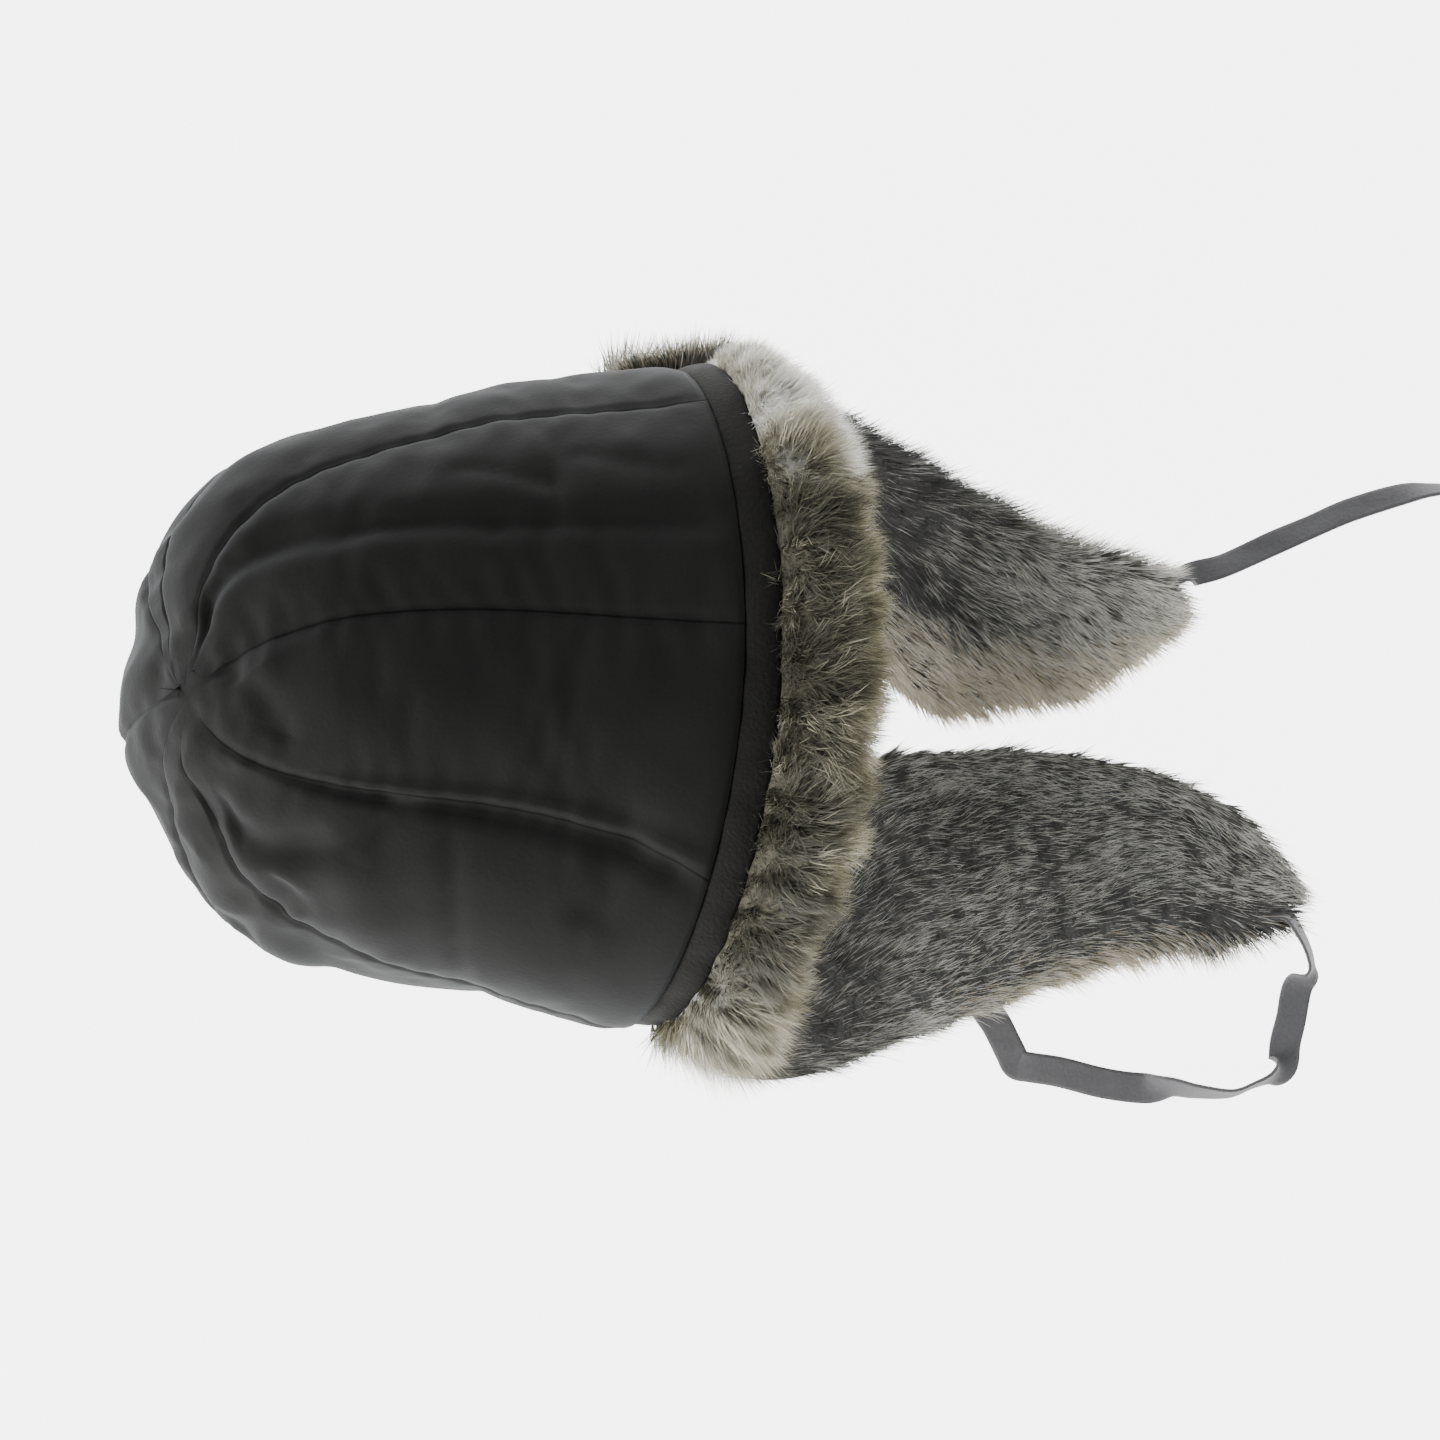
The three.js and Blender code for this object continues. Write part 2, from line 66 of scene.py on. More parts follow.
# Head shape that the crown, the rim and the front flap share
HEAD_CENTRE = np.array([-10.0, 6.0, 114.0])
HEAD_LENGTH = 137.0
HEAD_HALF_WIDTH = 94.5
HEAD_HALF_HEIGHT = 92.0
LENGTH_POWER = 2.3
SECTION_POWER = 2.25
FLARE_PER_MM = 0.002

# Rim line: how far forward it lies round the head
RIM_MIDDLE_X = 23.75
NAPE_DROP = 21.5
SIDE_SKEW = 8.0
CENTRE_DROP = 5.75

# Crown of eight puffed gores
CROWN_WALL = 7.5
CROWN_TOP_TILT = 43.0
CROWN_RINGS = 52
STEPS_PER_GORE = 16
CROWN_ARC = 210.0
GORE_WIDEST = 75.0
GORE_PUFF = 1.3
PUFF_POWER = 0.7
TOP_FLATNESS = 0.45
SEAM_DEPTH = 1.1
SEAM_HALF_WIDTH = 1.4
SEAM_LINE = 0.6
SEAM_STARTS = 0.05
PUCKER_DEPTH = 0.16
PUCKER_PITCH = 11.0
PUCKER_REACH = 8.0
MM_PER_DEGREE = 1.65
GORE_WIDENING = 1.15
SEAM_FROM = 0.08
SEAM_RISE = 0.2
PUCKER_RISE = 0.25
PUCKER_DRIFT = 2.5
RIM_FADE = 0.05

# Seams between gores: their angle at the rim, half way up and near the top of the crown
SEAMS = [
    {"at_rim": -97, "midway": -122, "near_top": -145},
    {"at_rim": -53, "midway": -84, "near_top": -112},
    {"at_rim": -11, "midway": -26, "near_top": -50},
    {"at_rim": 28, "midway": 29, "near_top": 60},
    {"at_rim": 77, "midway": 88, "near_top": 114},
    {"at_rim": 120, "midway": 124, "near_top": 142},
    {"at_rim": 163, "midway": 163, "near_top": 176},
    {"at_rim": 219, "midway": 213, "near_top": 212},
]

# Soft folds in the crown's cloth: where each starts and ends, as parts of the way from the
# top of the crown to the rim and angles round the head
FOLDS = [
    {"start": (0.98, -27), "end": (0.65, -41), "depth": 2.0, "width": 4},
    {"start": (0.65, -41), "end": (0.42, -59), "depth": 2.8, "width": 5},
    {"start": (0.42, -59), "end": (0.14, -97), "depth": 3.2, "width": 6},
    {"start": (0.62, -59), "end": (0.74, -46), "depth": 0.7, "width": 2.5},
    {"start": (0.8, -50), "end": (0.93, -39), "depth": 0.6, "width": 2.5},
    {"start": (0.48, 34), "end": (0.42, 52), "depth": 3.0, "width": 5},
    {"start": (0.42, 52), "end": (0.24, 85), "depth": 3.0, "width": 6},
    {"start": (0.42, 116), "end": (0.38, 80), "depth": 3.2, "width": 6},
    {"start": (0.88, 24), "end": (0.85, 40), "depth": 1.8, "width": 5},
    {"start": (0.1, -40), "end": (0.24, 20), "depth": 0.9, "width": 5},
    {"start": (0.45, 100), "end": (0.75, 96), "depth": 3.5, "width": 20},
]

# Puffed edge that hangs over the seam left of the middle
RIDGE_SEAM = 3
RIDGE_BESIDE = 3.0
RIDGE_LIFT = 1.7
RIDGE_LIFT_WIDTH = 3.2
RIDGE_SINK = 2.1
RIDGE_SINK_WIDTH = 3.4
RIDGE_FROM = 0.25
RIDGE_RISE = 0.2

# How the sewn crown strays from the head shape: outwards at each side for places along it,
# and backwards at its end for places across it
RIGHT_SIDE = [(-130, 3), (-120, 3), (-102, 1), (-83, -3), (-70, -4), (-50, -3.5), (-30, -0.5), (-10, 0)]
LEFT_SIDE = [(-120, 0), (-95, 1), (-83, -4), (-60, -4), (-38, -4), (-22, -1), (0, 2), (20, 2)]
END = [
    (-62, 0), (-50, -4), (-37, -6), (-25, -5.5), (-12, -1),
    (12, -1), (25, -5), (37, -2), (60, 0), (75, 3),
]
END_FROM = -60.0
END_FULL = -130.0
WAIST_WIDTH = 14.0

# Crumpled cloth, deepest round the crown's top and low on its left side
CRUMPLE_TOP = {"sharp": 0.8, "soft": 0.3, "along": 0.2, "reach": 0.17}
CRUMPLE_SIDE = {"depth": 1.1, "along": 0.42, "reach": 0.24, "angle": 75, "span": 32}
CRUMPLE_ALL = 0.22

# Cloth simulation of the crown
CLOTH_FRAMES = 12
CLOTH_PRESSURE = 60.0
CLOTH_MASS = 0.01
CLOTH_STIFFNESS = 15.0
CLOTH_SHRINK = -0.012
CLOTH_CAP = 3.0
PINNED_TOP = 0.03
PINNED_RIM = 0.985

# Rim binding
BINDING_WIDTH = 10.0
BINDING_GAP = 0.12
BINDING_OVERLAP = 0.7
BINDING_STEPS = 240
BINDING_SIDES = 16
BINDING_INSET = 4.0
BINDING_HALF_DEPTH = 4.4
BINDING_CORNERS = 0.45
BINDING_UNEVENNESS = 0.35
TORUS_THICKNESS = 0.2

# Fur band along the nape: how far ahead of the rim line, and how far out and in, it reaches
NAPE_ENDS = (-79, 79)
NAPE_SECTION = [
    {"ahead": 0.3, "outer": 0.5, "inner": 9.5},
    {"ahead": 7, "outer": -3, "inner": 10},
    {"ahead": 14, "outer": -4, "inner": 10},
    {"ahead": 20, "outer": 1, "inner": 6},
]
NAPE_RIGHT_REACH = 0.45
NAPE_LEFT_REACH = 0.85
NAPE_BEHIND = 0.4
NAPE_EDGE_POWER = 1.6
NAPE_ROUNDNESS = 6
NAPE_COAT_GRID = (240, 40)
NAPE_COAT = {"coarse": 0.9, "fine": 0.6, "sink": 1.2}

# Turned-up front flap
FRONT_ENDS = (118, 252)
FRONT_AHEAD = -2.0
FRONT_LENGTH = 74.0
FRONT_CORNER = 0.72
FRONT_LIFT = 3.3
FRONT_FOLD_LIFT = -0.2
FRONT_FOLD_PART = 0.3
FRONT_CLOTH = 2.0
FRONT_PILE = [(118, 9), (150, 13), (180, 24), (212, 24), (235, 16), (252, 14)]
FRONT_PILE_END = 1.02
FRONT_PILE_SIDES = 24.0
FRONT_CLOTH_SHARE = 0.9
FRONT_CLOTH_GRID = (80, 26)
FRONT_COAT_GRID = (140, 50)
FRONT_COAT_GAP = 0.5
FRONT_COAT_REST = 0.15
FRONT_COAT_BUMPS = 0.7

# Ear flaps: their sections run from the rim to the tip, each with its outer and inner edge
FLAP_CLOTH = 2.0
FLAP_SAG = 1.5
FLAP_BASE_AHEAD = 1.0
FLAP_BASE_INSET = 1.5
FLAP_CLOTH_SHARE = 0.8
FLAP_CLOTH_GRID = (60, 34)
FLAP_COAT_GRID = (110, 60)
FLAP_COAT = {"gap": 0.3, "pile": 4.5, "fine": 0.5, "steepness": 10, "tip": 1.4}
RIGHT_FLAP = {
    "base": (-82, -135),
    "side": -1,
    "outer_fringe": 0.12,
    "inner_fringe": 0.14,
    "outer_lean": 0.9,
    "inner_lean": 1.0,
    "light_width": 1.45,
    "sections": [
        {"outer": (46, 102, 124), "inner": (40, 60, 28)},
        {"outer": (67, 97, 112), "inner": (66, 38, 11)},
        {"outer": (86, 88.5, 98), "inner": (94, 18, 3)},
        {"outer": (106, 79.5, 83), "inner": (114, 5.5, 1)},
        {"outer": (128, 71, 66), "inner": (139, 8.5, 0)},
        {"outer": (150, 61.5, 47), "inner": (161, 12, 0)},
        {"outer": (173, 57.5, 28), "inner": (178, 24.5, 0)},
        {"outer": (191, 50, 3), "inner": (194, 35, 0)},
    ],
}
LEFT_FLAP = {
    "base": (82, 135),
    "side": 1,
    "outer_fringe": 0.12,
    "inner_fringe": 0.06,
    "outer_lean": 0.45,
    "inner_lean": 0.7,
    "light_width": 1.1,
    "sections": [
        {"outer": (38, -109, 117), "inner": (28, -60, 28)},
        {"outer": (59, -112, 108), "inner": (62, -32, 10)},
        {"outer": (85, -106, 90), "inner": (92, -14.5, 2)},
        {"outer": (108, -101, 68), "inner": (118, -12.5, 1)},
        {"outer": (134, -93.5, 47), "inner": (146, -11.5, 0)},
        {"outer": (162, -84, 30), "inner": (175, -15.5, 0)},
        {"outer": (190, -78.5, 17), "inner": (201, -23, 0)},
        {"outer": (213, -76.5, 9), "inner": (221, -33.5, 0)},
        {"outer": (236, -72, 2), "inner": (237, -51, 0)},
    ],
}

# Ties: where their centre lines run on the table, and how far they twist out of flat
TIE_THICKNESS = 1.0
TIE_REST = 0.6
TIE_STEPS = 160
TIE_COLUMNS = 8
TIE_MOST_TWIST = 80.0
TIE_RIPPLE = 0.15
TIE_LOWEST = 0.02
RIGHT_TIE_WIDTH = 9.0
RIGHT_TIE = [
    {"x": 189, "y": 40, "twist": 40},
    {"x": 196, "y": 46.5, "twist": 72},
    {"x": 200, "y": 50.5, "twist": 74},
    {"x": 206, "y": 52.8, "twist": 12},
    {"x": 217, "y": 55.8, "twist": 26},
    {"x": 233.1, "y": 63.1, "twist": 18},
    {"x": 247.8, "y": 69.5, "twist": 28},
    {"x": 262.3, "y": 75.7, "twist": 24},
    {"x": 279.8, "y": 81.1, "twist": 34},
    {"x": 290.7, "y": 82.8, "twist": 58},
    {"x": 300, "y": 82.5, "twist": 62},
    {"x": 316, "y": 78, "twist": 20},
    {"x": 331, "y": 67, "twist": 5},
    {"x": 338, "y": 51, "twist": 0},
    {"x": 337.5, "y": 31, "twist": 0},
]
LEFT_TIE_WIDTH = 11.0
LEFT_TIE = [
    {"x": 231, "y": -66.5, "twist": 30},
    {"x": 238, "y": -69, "twist": 60},
    {"x": 242.5, "y": -75, "twist": 66},
    {"x": 246.5, "y": -83.5, "twist": 68},
    {"x": 247.3, "y": -90.5, "twist": 62},
    {"x": 243.6, "y": -96, "twist": 8},
    {"x": 241.3, "y": -107.8, "twist": 4},
    {"x": 239.2, "y": -117, "twist": 0},
    {"x": 238.2, "y": -124.5, "twist": 4},
    {"x": 233.5, "y": -128.2, "twist": 58},
    {"x": 226.7, "y": -131.1, "twist": 70},
    {"x": 218.2, "y": -134.2, "twist": 68},
    {"x": 205.7, "y": -133.4, "twist": 58},
    {"x": 197.1, "y": -132, "twist": 46},
    {"x": 187.3, "y": -133, "twist": 0},
    {"x": 173, "y": -131.1, "twist": 0},
    {"x": 158, "y": -127.2, "twist": 4},
    {"x": 147, "y": -125.4, "twist": 8},
    {"x": 142.2, "y": -124.4, "twist": 4},
    {"x": 140.2, "y": -120.6, "twist": 4},
    {"x": 137.6, "y": -115.3, "twist": 2},
    {"x": 134.6, "y": -109.5, "twist": 0},
    {"x": 130.8, "y": -104, "twist": 0},
    {"x": 128, "y": -98, "twist": 0},
]

# A hair is a strip of two pairs of points and a tip; its map holds its tone and its length
HAIR_STATIONS = np.array([0.0, 0.5, 1.0])
HAIR_WIDTHS = np.array([1.0, 0.8])
HAIR_FACES = [(0, 1, 3, 2), (2, 3, 4)]
HAIR_VERTICES = 5
HAIR_MAP_HALF_WIDTH = 0.004
HAIR_TONES = (0.01, 0.99)
HAIR_BODY_FROM = 0.45
HAIR_TIP_FROM = 0.52
HAIR_TIP_RISE = 0.28
TABLE_CLEARANCE = 0.1
FRAME_STEP = 1e-3
FORWARD = np.array([1.0, 0.0, 0.0])

# Hairs of each kind: how many share a tuft, the tuft's size over the surface, and their sizes
NAPE_HAIR = {
    "tuft": 24, "tuft_size": (0.007, 0.022), "widths": (0.18, 0.4),
    "length": 12.0, "spread": 2.0, "shortest": 4.5, "longest": 16.0,
}
FRONT_HAIR = {
    "seed": 61, "tuft": 24, "tuft_size": (0.008, 0.03), "widths": (0.2, 0.45),
    "length": 11.0, "spread": 2.0, "shortest": 5.0, "longest": 15.0,
}
CORNER_HAIR = {
    "seed": 64, "tuft": 14, "tuft_size": (0.03, 0.05), "widths": (0.18, 0.4),
    "length": 9.5, "spread": 2.5, "shortest": 4.0, "longest": 15.0,
}
FLAP_HAIR = {
    "tuft": 6, "tuft_size": (0.004, 0.007), "widths": (0.17, 0.36),
    "length": 11.4, "spread": 2.8, "shortest": 5.0, "longest": 17.0,
}
NAPE_HAIRS = 50000
FRONT_HAIRS = 14000
CORNER_HAIRS = 9000
RIGHT_HAIRS = 60000
LEFT_NEAR_HAIRS = 44000
LEFT_FAR_HAIRS = 30000

# Nape hair: how much it stands up, leans forward, turns at the band's ends and strays
NAPE_AT_ROOT = {
    "up": 0.6, "up_at_rim": 0.6, "forward": 0.85, "forward_at_rim": 0.8,
    "left_end": np.array([0.2, -0.55, 0.0]), "left_back": 0.3,
    "right_end": np.array([-0.5, 0.1, 0.0]), "scatter": 1.0, "swirl": 0.5,
}
NAPE_AT_TIP = {
    "up": 0.12, "up_at_rim": 0.4, "forward": 1.0, "forward_at_rim": 0.55,
    "left_end": np.array([0.2, -0.9, 0.0]), "left_back": 0.25,
    "right_end": np.array([-0.7, 0.1, 0.0]), "scatter": 1.6, "swirl": 1.4,
}
NAPE_ROOT_LIFT = -2.0
NAPE_RIM_PART = 0.1
NAPE_SCATTER = 0.12
NAPE_SWIRL = np.array([0.0, 0.5, 0.0])
NAPE_SWIRL_PITCH = 16
NAPE_TUFT_LEAN = 0.2
NAPE_GATHER = 0.14
NAPE_FAN = np.array([0.0, -0.15, 0.0])

# The angle where each end of the band starts, and over how many degrees it grows
NAPE_LEFT_END = (42, 30)
NAPE_RIGHT_END = (60, 18)
NAPE_RIGHT_TRIM = (60, 15)

# What makes nape hair longer or shorter
NAPE_SWELL = {"mean": 0.85, "share": 0.25, "pitch": 9}
NAPE_RIM_TRIM = 0.4
NAPE_LENGTH = {"mean": 0.8, "reach": 0.2, "left_end": 0.75, "right_end": -0.48}

# Nape tones: white and pale ends start at these parts of the half width, over these widths
WHITE_RIGHT = (0.56, 0.26)
PALE_LEFT = (0.74, 0.2)
PALE_LEFT_SHARE = 0.34
SHADED_LEFT = (0.3, 0.3)
NAPE_EDGE_PART = 0.42
NAPE_TONE = {
    "mean": -0.16, "edge": 0.6, "coarse": 0.12, "fine": 0.28, "evened": 0.8,
    "white": 0.98, "shade": 0.26, "left_rim": 0.42, "spread": 0.15,
}

# Front flap's hair: it lies back under the crown, stands out sideways at the flap's right end,
# and is tucked down where the crown hides it
FRONT_ROOT_DEPTH = 3.0
FRONT_SCATTER = 0.2
FRONT_RIGHT_END = (0.82, 0.15)
FRONT_BACK = np.array([-0.45, 0.0, 0.0])
SIDEWAYS = np.array([0.0, 1.0, 0.15])
FRONT_FAN = {"lean": np.array([0.9, 0.0, 0.0]), "from": 2.0, "over": 12.0, "least": -0.1}
TUCKED_BEHIND = (-2.0, 6.0)
TUCKED_SIDE = (0.7, 0.1)
TUCKED_LEAN = np.array([0.2, -0.7, -1.6])
FRONT_AT_ROOT = {"up": 0.8, "sideways": 0.4}
FRONT_AT_TIP = {"up": 0.4, "back": 2.0, "scatter": 1.2}
FRONT_LONGER = {"sideways": 0.4, "tucked": -0.7}
FRONT_LIGHT = {"mean": 0.7, "share": 0.15}
FRONT_BEIGE = {"share": 0.3, "tone": 0.84, "spread": 0.05}

# Tuft at the rim's right side, over these angles and this far ahead of the rim
CORNER_SPAN = [(-97, -122), (-17, 14)]
CORNER_OUT = 4.5
CORNER_CLUMPING = 0.3
CORNER_FAN = {"lean": np.array([0.7, 0.0, 0.0]), "from": 2.0, "over": 16.0}
CORNER_SCATTER = 0.16
CORNER_TUFT_LEAN = 0.18
CORNER_AT_ROOT = {"outward": 0.3, "fan": 0.6}
CORNER_AT_TIP = {"fan": 1.5, "scatter": 1.4}
CORNER_LIGHT = {"mean": 0.8, "share": -0.3, "ahead": (8.0, 4.0)}
CORNER_BEIGE = {"share": 0.3, "tone": 0.9, "spread": 0.06}

# Ear flap hair: how it stands up, follows the flow, and turns over the flap's edges
FLAP_AT_ROOT = {"up": 0.6, "flow": 0.9, "edge": 0.8}
FLAP_AT_TIP = {"up": 0.08, "flow": 1.1, "edge": 0.9, "scatter": 1.2}
FLAP_ROOT_LIFT = 1.5
FLAP_TIP_STEEPNESS = 9.0
FLAP_TIP_LEANS = (0.3, 1.7)
FLAP_BASE_PART = 0.07
FLAP_BASE_REACH = 1.6
FLAP_BASE_OUTER = 3.0
FLAP_BASE_LEAN = {"back": -0.45, "up": 0.25}
FLAP_DROOP = np.array([0.0, 0.0, -0.2])
FLAP_SCATTER = 0.13
FLAP_TUFT_LEAN = 0.08
FLAP_SWIRLS = [{"pitch": 34, "seed": 0, "lean": 0.22}, {"pitch": 9, "seed": 5, "lean": 0.04}]
FLAP_GATHER = 0.1
FLAP_SWELL = {"share": 0.06, "pitch": 8}
INNER_TRIM = 0.3
LIGHT_FROM = 0.45
LIGHT_LENGTH = 1.08
DARK_LENGTH = 0.92
EDGE_CROWDING = ([0.0, 0.12, 1.0], [0.0, 0.03, 1.0])
TIP_THINNING = ([0.0, 0.375, 0.667, 0.875, 1.0], [0.0, 0.25, 0.5, 0.75, 1.0])

# Headings of the ear flaps' hair in degrees, and the stretches where it turns
RIGHT_FLOW = {"heading": -30, "across": -14, "along": 12, "outer": 24, "outer_part": 0.1}
LEFT_FLOW = {"turn": -4, "outer": -8, "outer_far": -38, "far": -8, "inner": -10}
LEFT_FAR = (0.5, 0.25)
LEFT_OUTER_PART = 0.25
LEFT_INNER = (0.8, 0.2)

# Tones of the ear flaps' mixed dark and light hairs, and the shares of light ones along them
DARK_HAIR = {"tone": 0.14, "spread": 0.1, "darkest": 0.0, "lightest": 0.36}
LIGHT_HAIR = {"spread": 0.07, "darkest": 0.5, "lightest": 0.76}
LIGHT_TONE = 0.64
LEFT_LIGHT_TONE = 0.57
CLUMP_HAIRS = 6
RIGHT_CLUMPING = 0.25
LEFT_CLUMPING = 0.12
RIGHT_LIGHT = [(0.0, 0.0), (0.4, 0.05), (0.65, 0.42), (0.85, 0.66), (1.0, 0.66)]
LEFT_LIGHT = [(0.0, 0.22), (0.3, 0.36), (0.5, 0.52), (0.8, 0.46), (1.0, 0.42)]
RIGHT_PATCHES = {"coarse": 0.1, "fine": 0.08}
LEFT_PATCHES = {"coarse": 0.08, "fine": 0.03, "fine_far": 0.08}
RIGHT_BEIGE = {"inner": (0.5, 0.28), "until": 1.5, "share": 0.92, "tone": 0.94, "spread": 0.07}
LEFT_INNER_LIGHT = {"share": 0.16, "inner": (0.7, 0.2)}
# Painted shadow: fewer light hairs in a band along the left flap's outer edge, towards its tip
LEFT_PAINTED_SHADOW_BAND = {"share": 0.36, "far": (0.5, 0.2), "at": 0.17, "width": 0.1}
LEFT_BEIGE = {"at": 0.66, "width": 0.17, "outer": 0.14, "share": 0.8, "tone": 0.86, "spread": 0.06}

# Dark and light of each cloth and undercoat
NYLON_COLOURS = ((0.0125, 0.0124, 0.0118), (0.018, 0.0178, 0.017))
NYLON_SHEEN = (0.75, 0.85, 1.0, 1.0)
# Thin lines of painted shade along the crown's seam grooves: their near-black colour, how far it covers
# the nylon's own, and how deep the lines dip in the bump
SEAM_SHADE_COLOUR = (0.003, 0.003, 0.003)
SEAM_SHADE = 0.8
SEAM_DIP = 2.0
BINDING_COLOURS = ((0.0095, 0.0092, 0.0083), (0.0145, 0.014, 0.013))
TIE_COLOURS = ((0.088, 0.087, 0.09), (0.126, 0.125, 0.129))
LIGHT_COAT_COLOURS = ((0.03, 0.028, 0.02), (0.16, 0.15, 0.105))
GREY_COAT_COLOURS = ((0.02, 0.02, 0.019), (0.1, 0.1, 0.093))
PALE_COAT_COLOUR = (0.55, 0.54, 0.5)

# Hair colours along a hair, for tones from dark to white on the nape
NAPE_COLOURS = [
    {"tone": 0.0, "root": (0.02, 0.02, 0.015), "body": (0.04, 0.038, 0.028), "tip": (0.08, 0.075, 0.05)},
    {"tone": 0.35, "root": (0.06, 0.056, 0.04), "body": (0.15, 0.14, 0.095), "tip": (0.34, 0.32, 0.22)},
    {"tone": 0.65, "root": (0.16, 0.145, 0.1), "body": (0.36, 0.33, 0.23), "tip": (0.58, 0.53, 0.39)},
    {"tone": 0.85, "root": (0.3, 0.28, 0.23), "body": (0.58, 0.55, 0.47), "tip": (0.78, 0.75, 0.67)},
    {"tone": 1.0, "root": (0.5, 0.49, 0.46), "body": (0.8, 0.79, 0.76), "tip": (0.9, 0.89, 0.87)},
]

# On the ear flaps the tones run from dark through light grey to beige
FLAP_COLOURS = [
    {"tone": 0.0, "root": (0.02, 0.02, 0.02), "body": (0.03, 0.03, 0.03), "tip": (0.06, 0.06, 0.06)},
    {"tone": 0.3, "root": (0.04, 0.04, 0.037), "body": (0.1, 0.1, 0.092), "tip": (0.2, 0.2, 0.185)},
    {"tone": 0.6, "root": (0.06, 0.06, 0.053), "body": (0.12, 0.12, 0.1), "tip": (0.86, 0.85, 0.77)},
    {"tone": 0.72, "root": (0.1, 0.1, 0.09), "body": (0.24, 0.235, 0.205), "tip": (0.98, 0.96, 0.9)},
    {"tone": 0.86, "root": (0.16, 0.13, 0.09), "body": (0.42, 0.35, 0.23), "tip": (0.9, 0.8, 0.61)},
    {"tone": 1.0, "root": (0.3, 0.27, 0.21), "body": (0.7, 0.64, 0.52), "tip": (0.88, 0.84, 0.74)},
]

# Noise over the pieces: its pitch in millimetres and its seed
NOISE = {
    "crown_sharp": (46, 18),
    "crown_top": (26, 14),
    "crown_side": (30, 16),
    "crown_all": (24, 17),
    "pucker": (40, 3),
    "binding": (14, 5),
    "nape_coat_coarse": (9, 11),
    "nape_coat_fine": (4, 12),
    "nape_coarse": (24, 41),
    "nape_fine": (7, 42),
    "front_coat": (8, 21),
    "front_light": (10, 62),
    "flap_coat_coarse": (9, 31),
    "flap_coat_fine": (4, 32),
    "right_coarse": (20, 51),
    "right_fine": (7, 52),
    "left_coarse": (22, 53),
    "left_fine": (7, 54),
    "tie": (11, 71),
}
WAVE_COUNT = 6
WAVE_SPREAD = (0.6, 1.5)


# Head shape


def section_size(y, z, inset):
    across = np.abs(y) / (HEAD_HALF_WIDTH - inset)
    up = np.abs(z) / (HEAD_HALF_HEIGHT - inset)
    return (across**SECTION_POWER + up**SECTION_POWER) ** (1 / SECTION_POWER)


def rim_x(angle):
    turn = np.radians(angle)
    drop = NAPE_DROP * np.cos(turn) + CENTRE_DROP * np.cos(2 * turn)
    return RIM_MIDDLE_X + drop - SIDE_SKEW * np.sin(turn)


def skin_points(x, angle, inset):
    """Points of the head shape at given x and angle, moved inwards by the inset."""
    x, angle, inset = np.broadcast_arrays(x, angle, inset)
    along = x - HEAD_CENTRE[0]
    part = np.minimum(np.abs(along) / (HEAD_LENGTH - inset), 1.0)
    taper = (1 - part**LENGTH_POWER) ** (1 / LENGTH_POWER)
    size = np.where(along < 0, taper, 1 + FLARE_PER_MM * along)
    y = -np.sin(np.radians(angle))
    z = np.cos(np.radians(angle))
    reach = size / section_size(y, z, inset)
    return np.stack([x, HEAD_CENTRE[1] + y * reach, HEAD_CENTRE[2] + z * reach], axis=-1)


def rim_points(angle, ahead, inset):
    return skin_points(rim_x(angle) + ahead, angle, inset)


def unit(vectors):
    return vectors / np.maximum(np.linalg.norm(vectors, axis=-1, keepdims=True), TINY)


def bell(distance, width):
    return np.exp(-((distance / width) ** 2))


def rise(value, start, width):
    """Goes from 0 at the start to 1 one width further on."""
    return np.clip((value - start) / width, 0, 1)


def crown_points(along, angle, inset, lift):
    """Points of the crown: along goes from 0 at its top to 1 at the binding."""
    scale = np.array([HEAD_LENGTH, HEAD_HALF_WIDTH, HEAD_HALF_HEIGHT]) - inset
    tilt = np.radians(CROWN_TOP_TILT)
    top = np.array([-np.cos(tilt), 0.0, np.sin(tilt)])
    edge = rim_points(angle, -BINDING_WIDTH - BINDING_GAP, inset) - HEAD_CENTRE
    edge = unit(edge / scale)
    turn = np.arccos(np.clip(edge @ top, -1, 1))[..., None]
    part = np.asarray(along)[..., None]
    direction = np.sin((1 - part) * turn) * top + np.sin(part * turn) * edge
    direction = unit(direction * scale)
    x, y, z = np.moveaxis(direction, -1, 0)
    section = section_size(y, z, inset)
    back = (np.abs(x) / (HEAD_LENGTH - inset)) ** LENGTH_POWER + section**LENGTH_POWER
    reach = np.where(x < 0, back ** (-1 / LENGTH_POWER), 1 / (section - FLARE_PER_MM * x))
    return HEAD_CENTRE + direction * (reach + lift)[..., None]


# Meshes


def deselect_all():
    bpy.ops.object.select_all(action="DESELECT")


def named(name):
    """Names the object that an operator has just added."""
    made = bpy.context.object
    made.name = name
    made.data.name = name
    return made


def vertices_of(piece):
    flat = np.empty(len(piece.data.vertices) * 3)
    piece.data.vertices.foreach_get("co", flat)
    return flat.reshape(-1, 3)


def place_vertices(piece, points):
    """Moves the piece's vertices to points in millimetres."""
    piece.data.vertices.foreach_set("co", (points * MM).astype(np.float32).ravel())
    piece.data.update()


def pick(piece):
    """Selects one object alone and makes it the active one."""
    deselect_all()
    piece.select_set(True)
    bpy.context.view_layer.objects.active = piece


def apply_modifiers(piece):
    pick(piece)
    for modifier in list(piece.modifiers):
        bpy.ops.object.modifier_apply(modifier=modifier.name)


def new_grid(name, columns, rows):
    """A flat grid, and how far across and along it each vertex lies, from 0 to 1."""
    deselect_all()
    bpy.ops.mesh.primitive_grid_add(x_subdivisions=columns, y_subdivisions=rows, size=1)
    grid = named(name)
    places = vertices_of(grid)
    return grid, places[:, 0] + 0.5, places[:, 1] + 0.5


def thicken(piece, thickness, offset):
    modifier = piece.modifiers.new("thickness", "SOLIDIFY")
    modifier.thickness = thickness * MM
    modifier.offset = offset
    apply_modifiers(piece)


def smooth(piece):
    pick(piece)
    bpy.ops.object.shade_smooth()


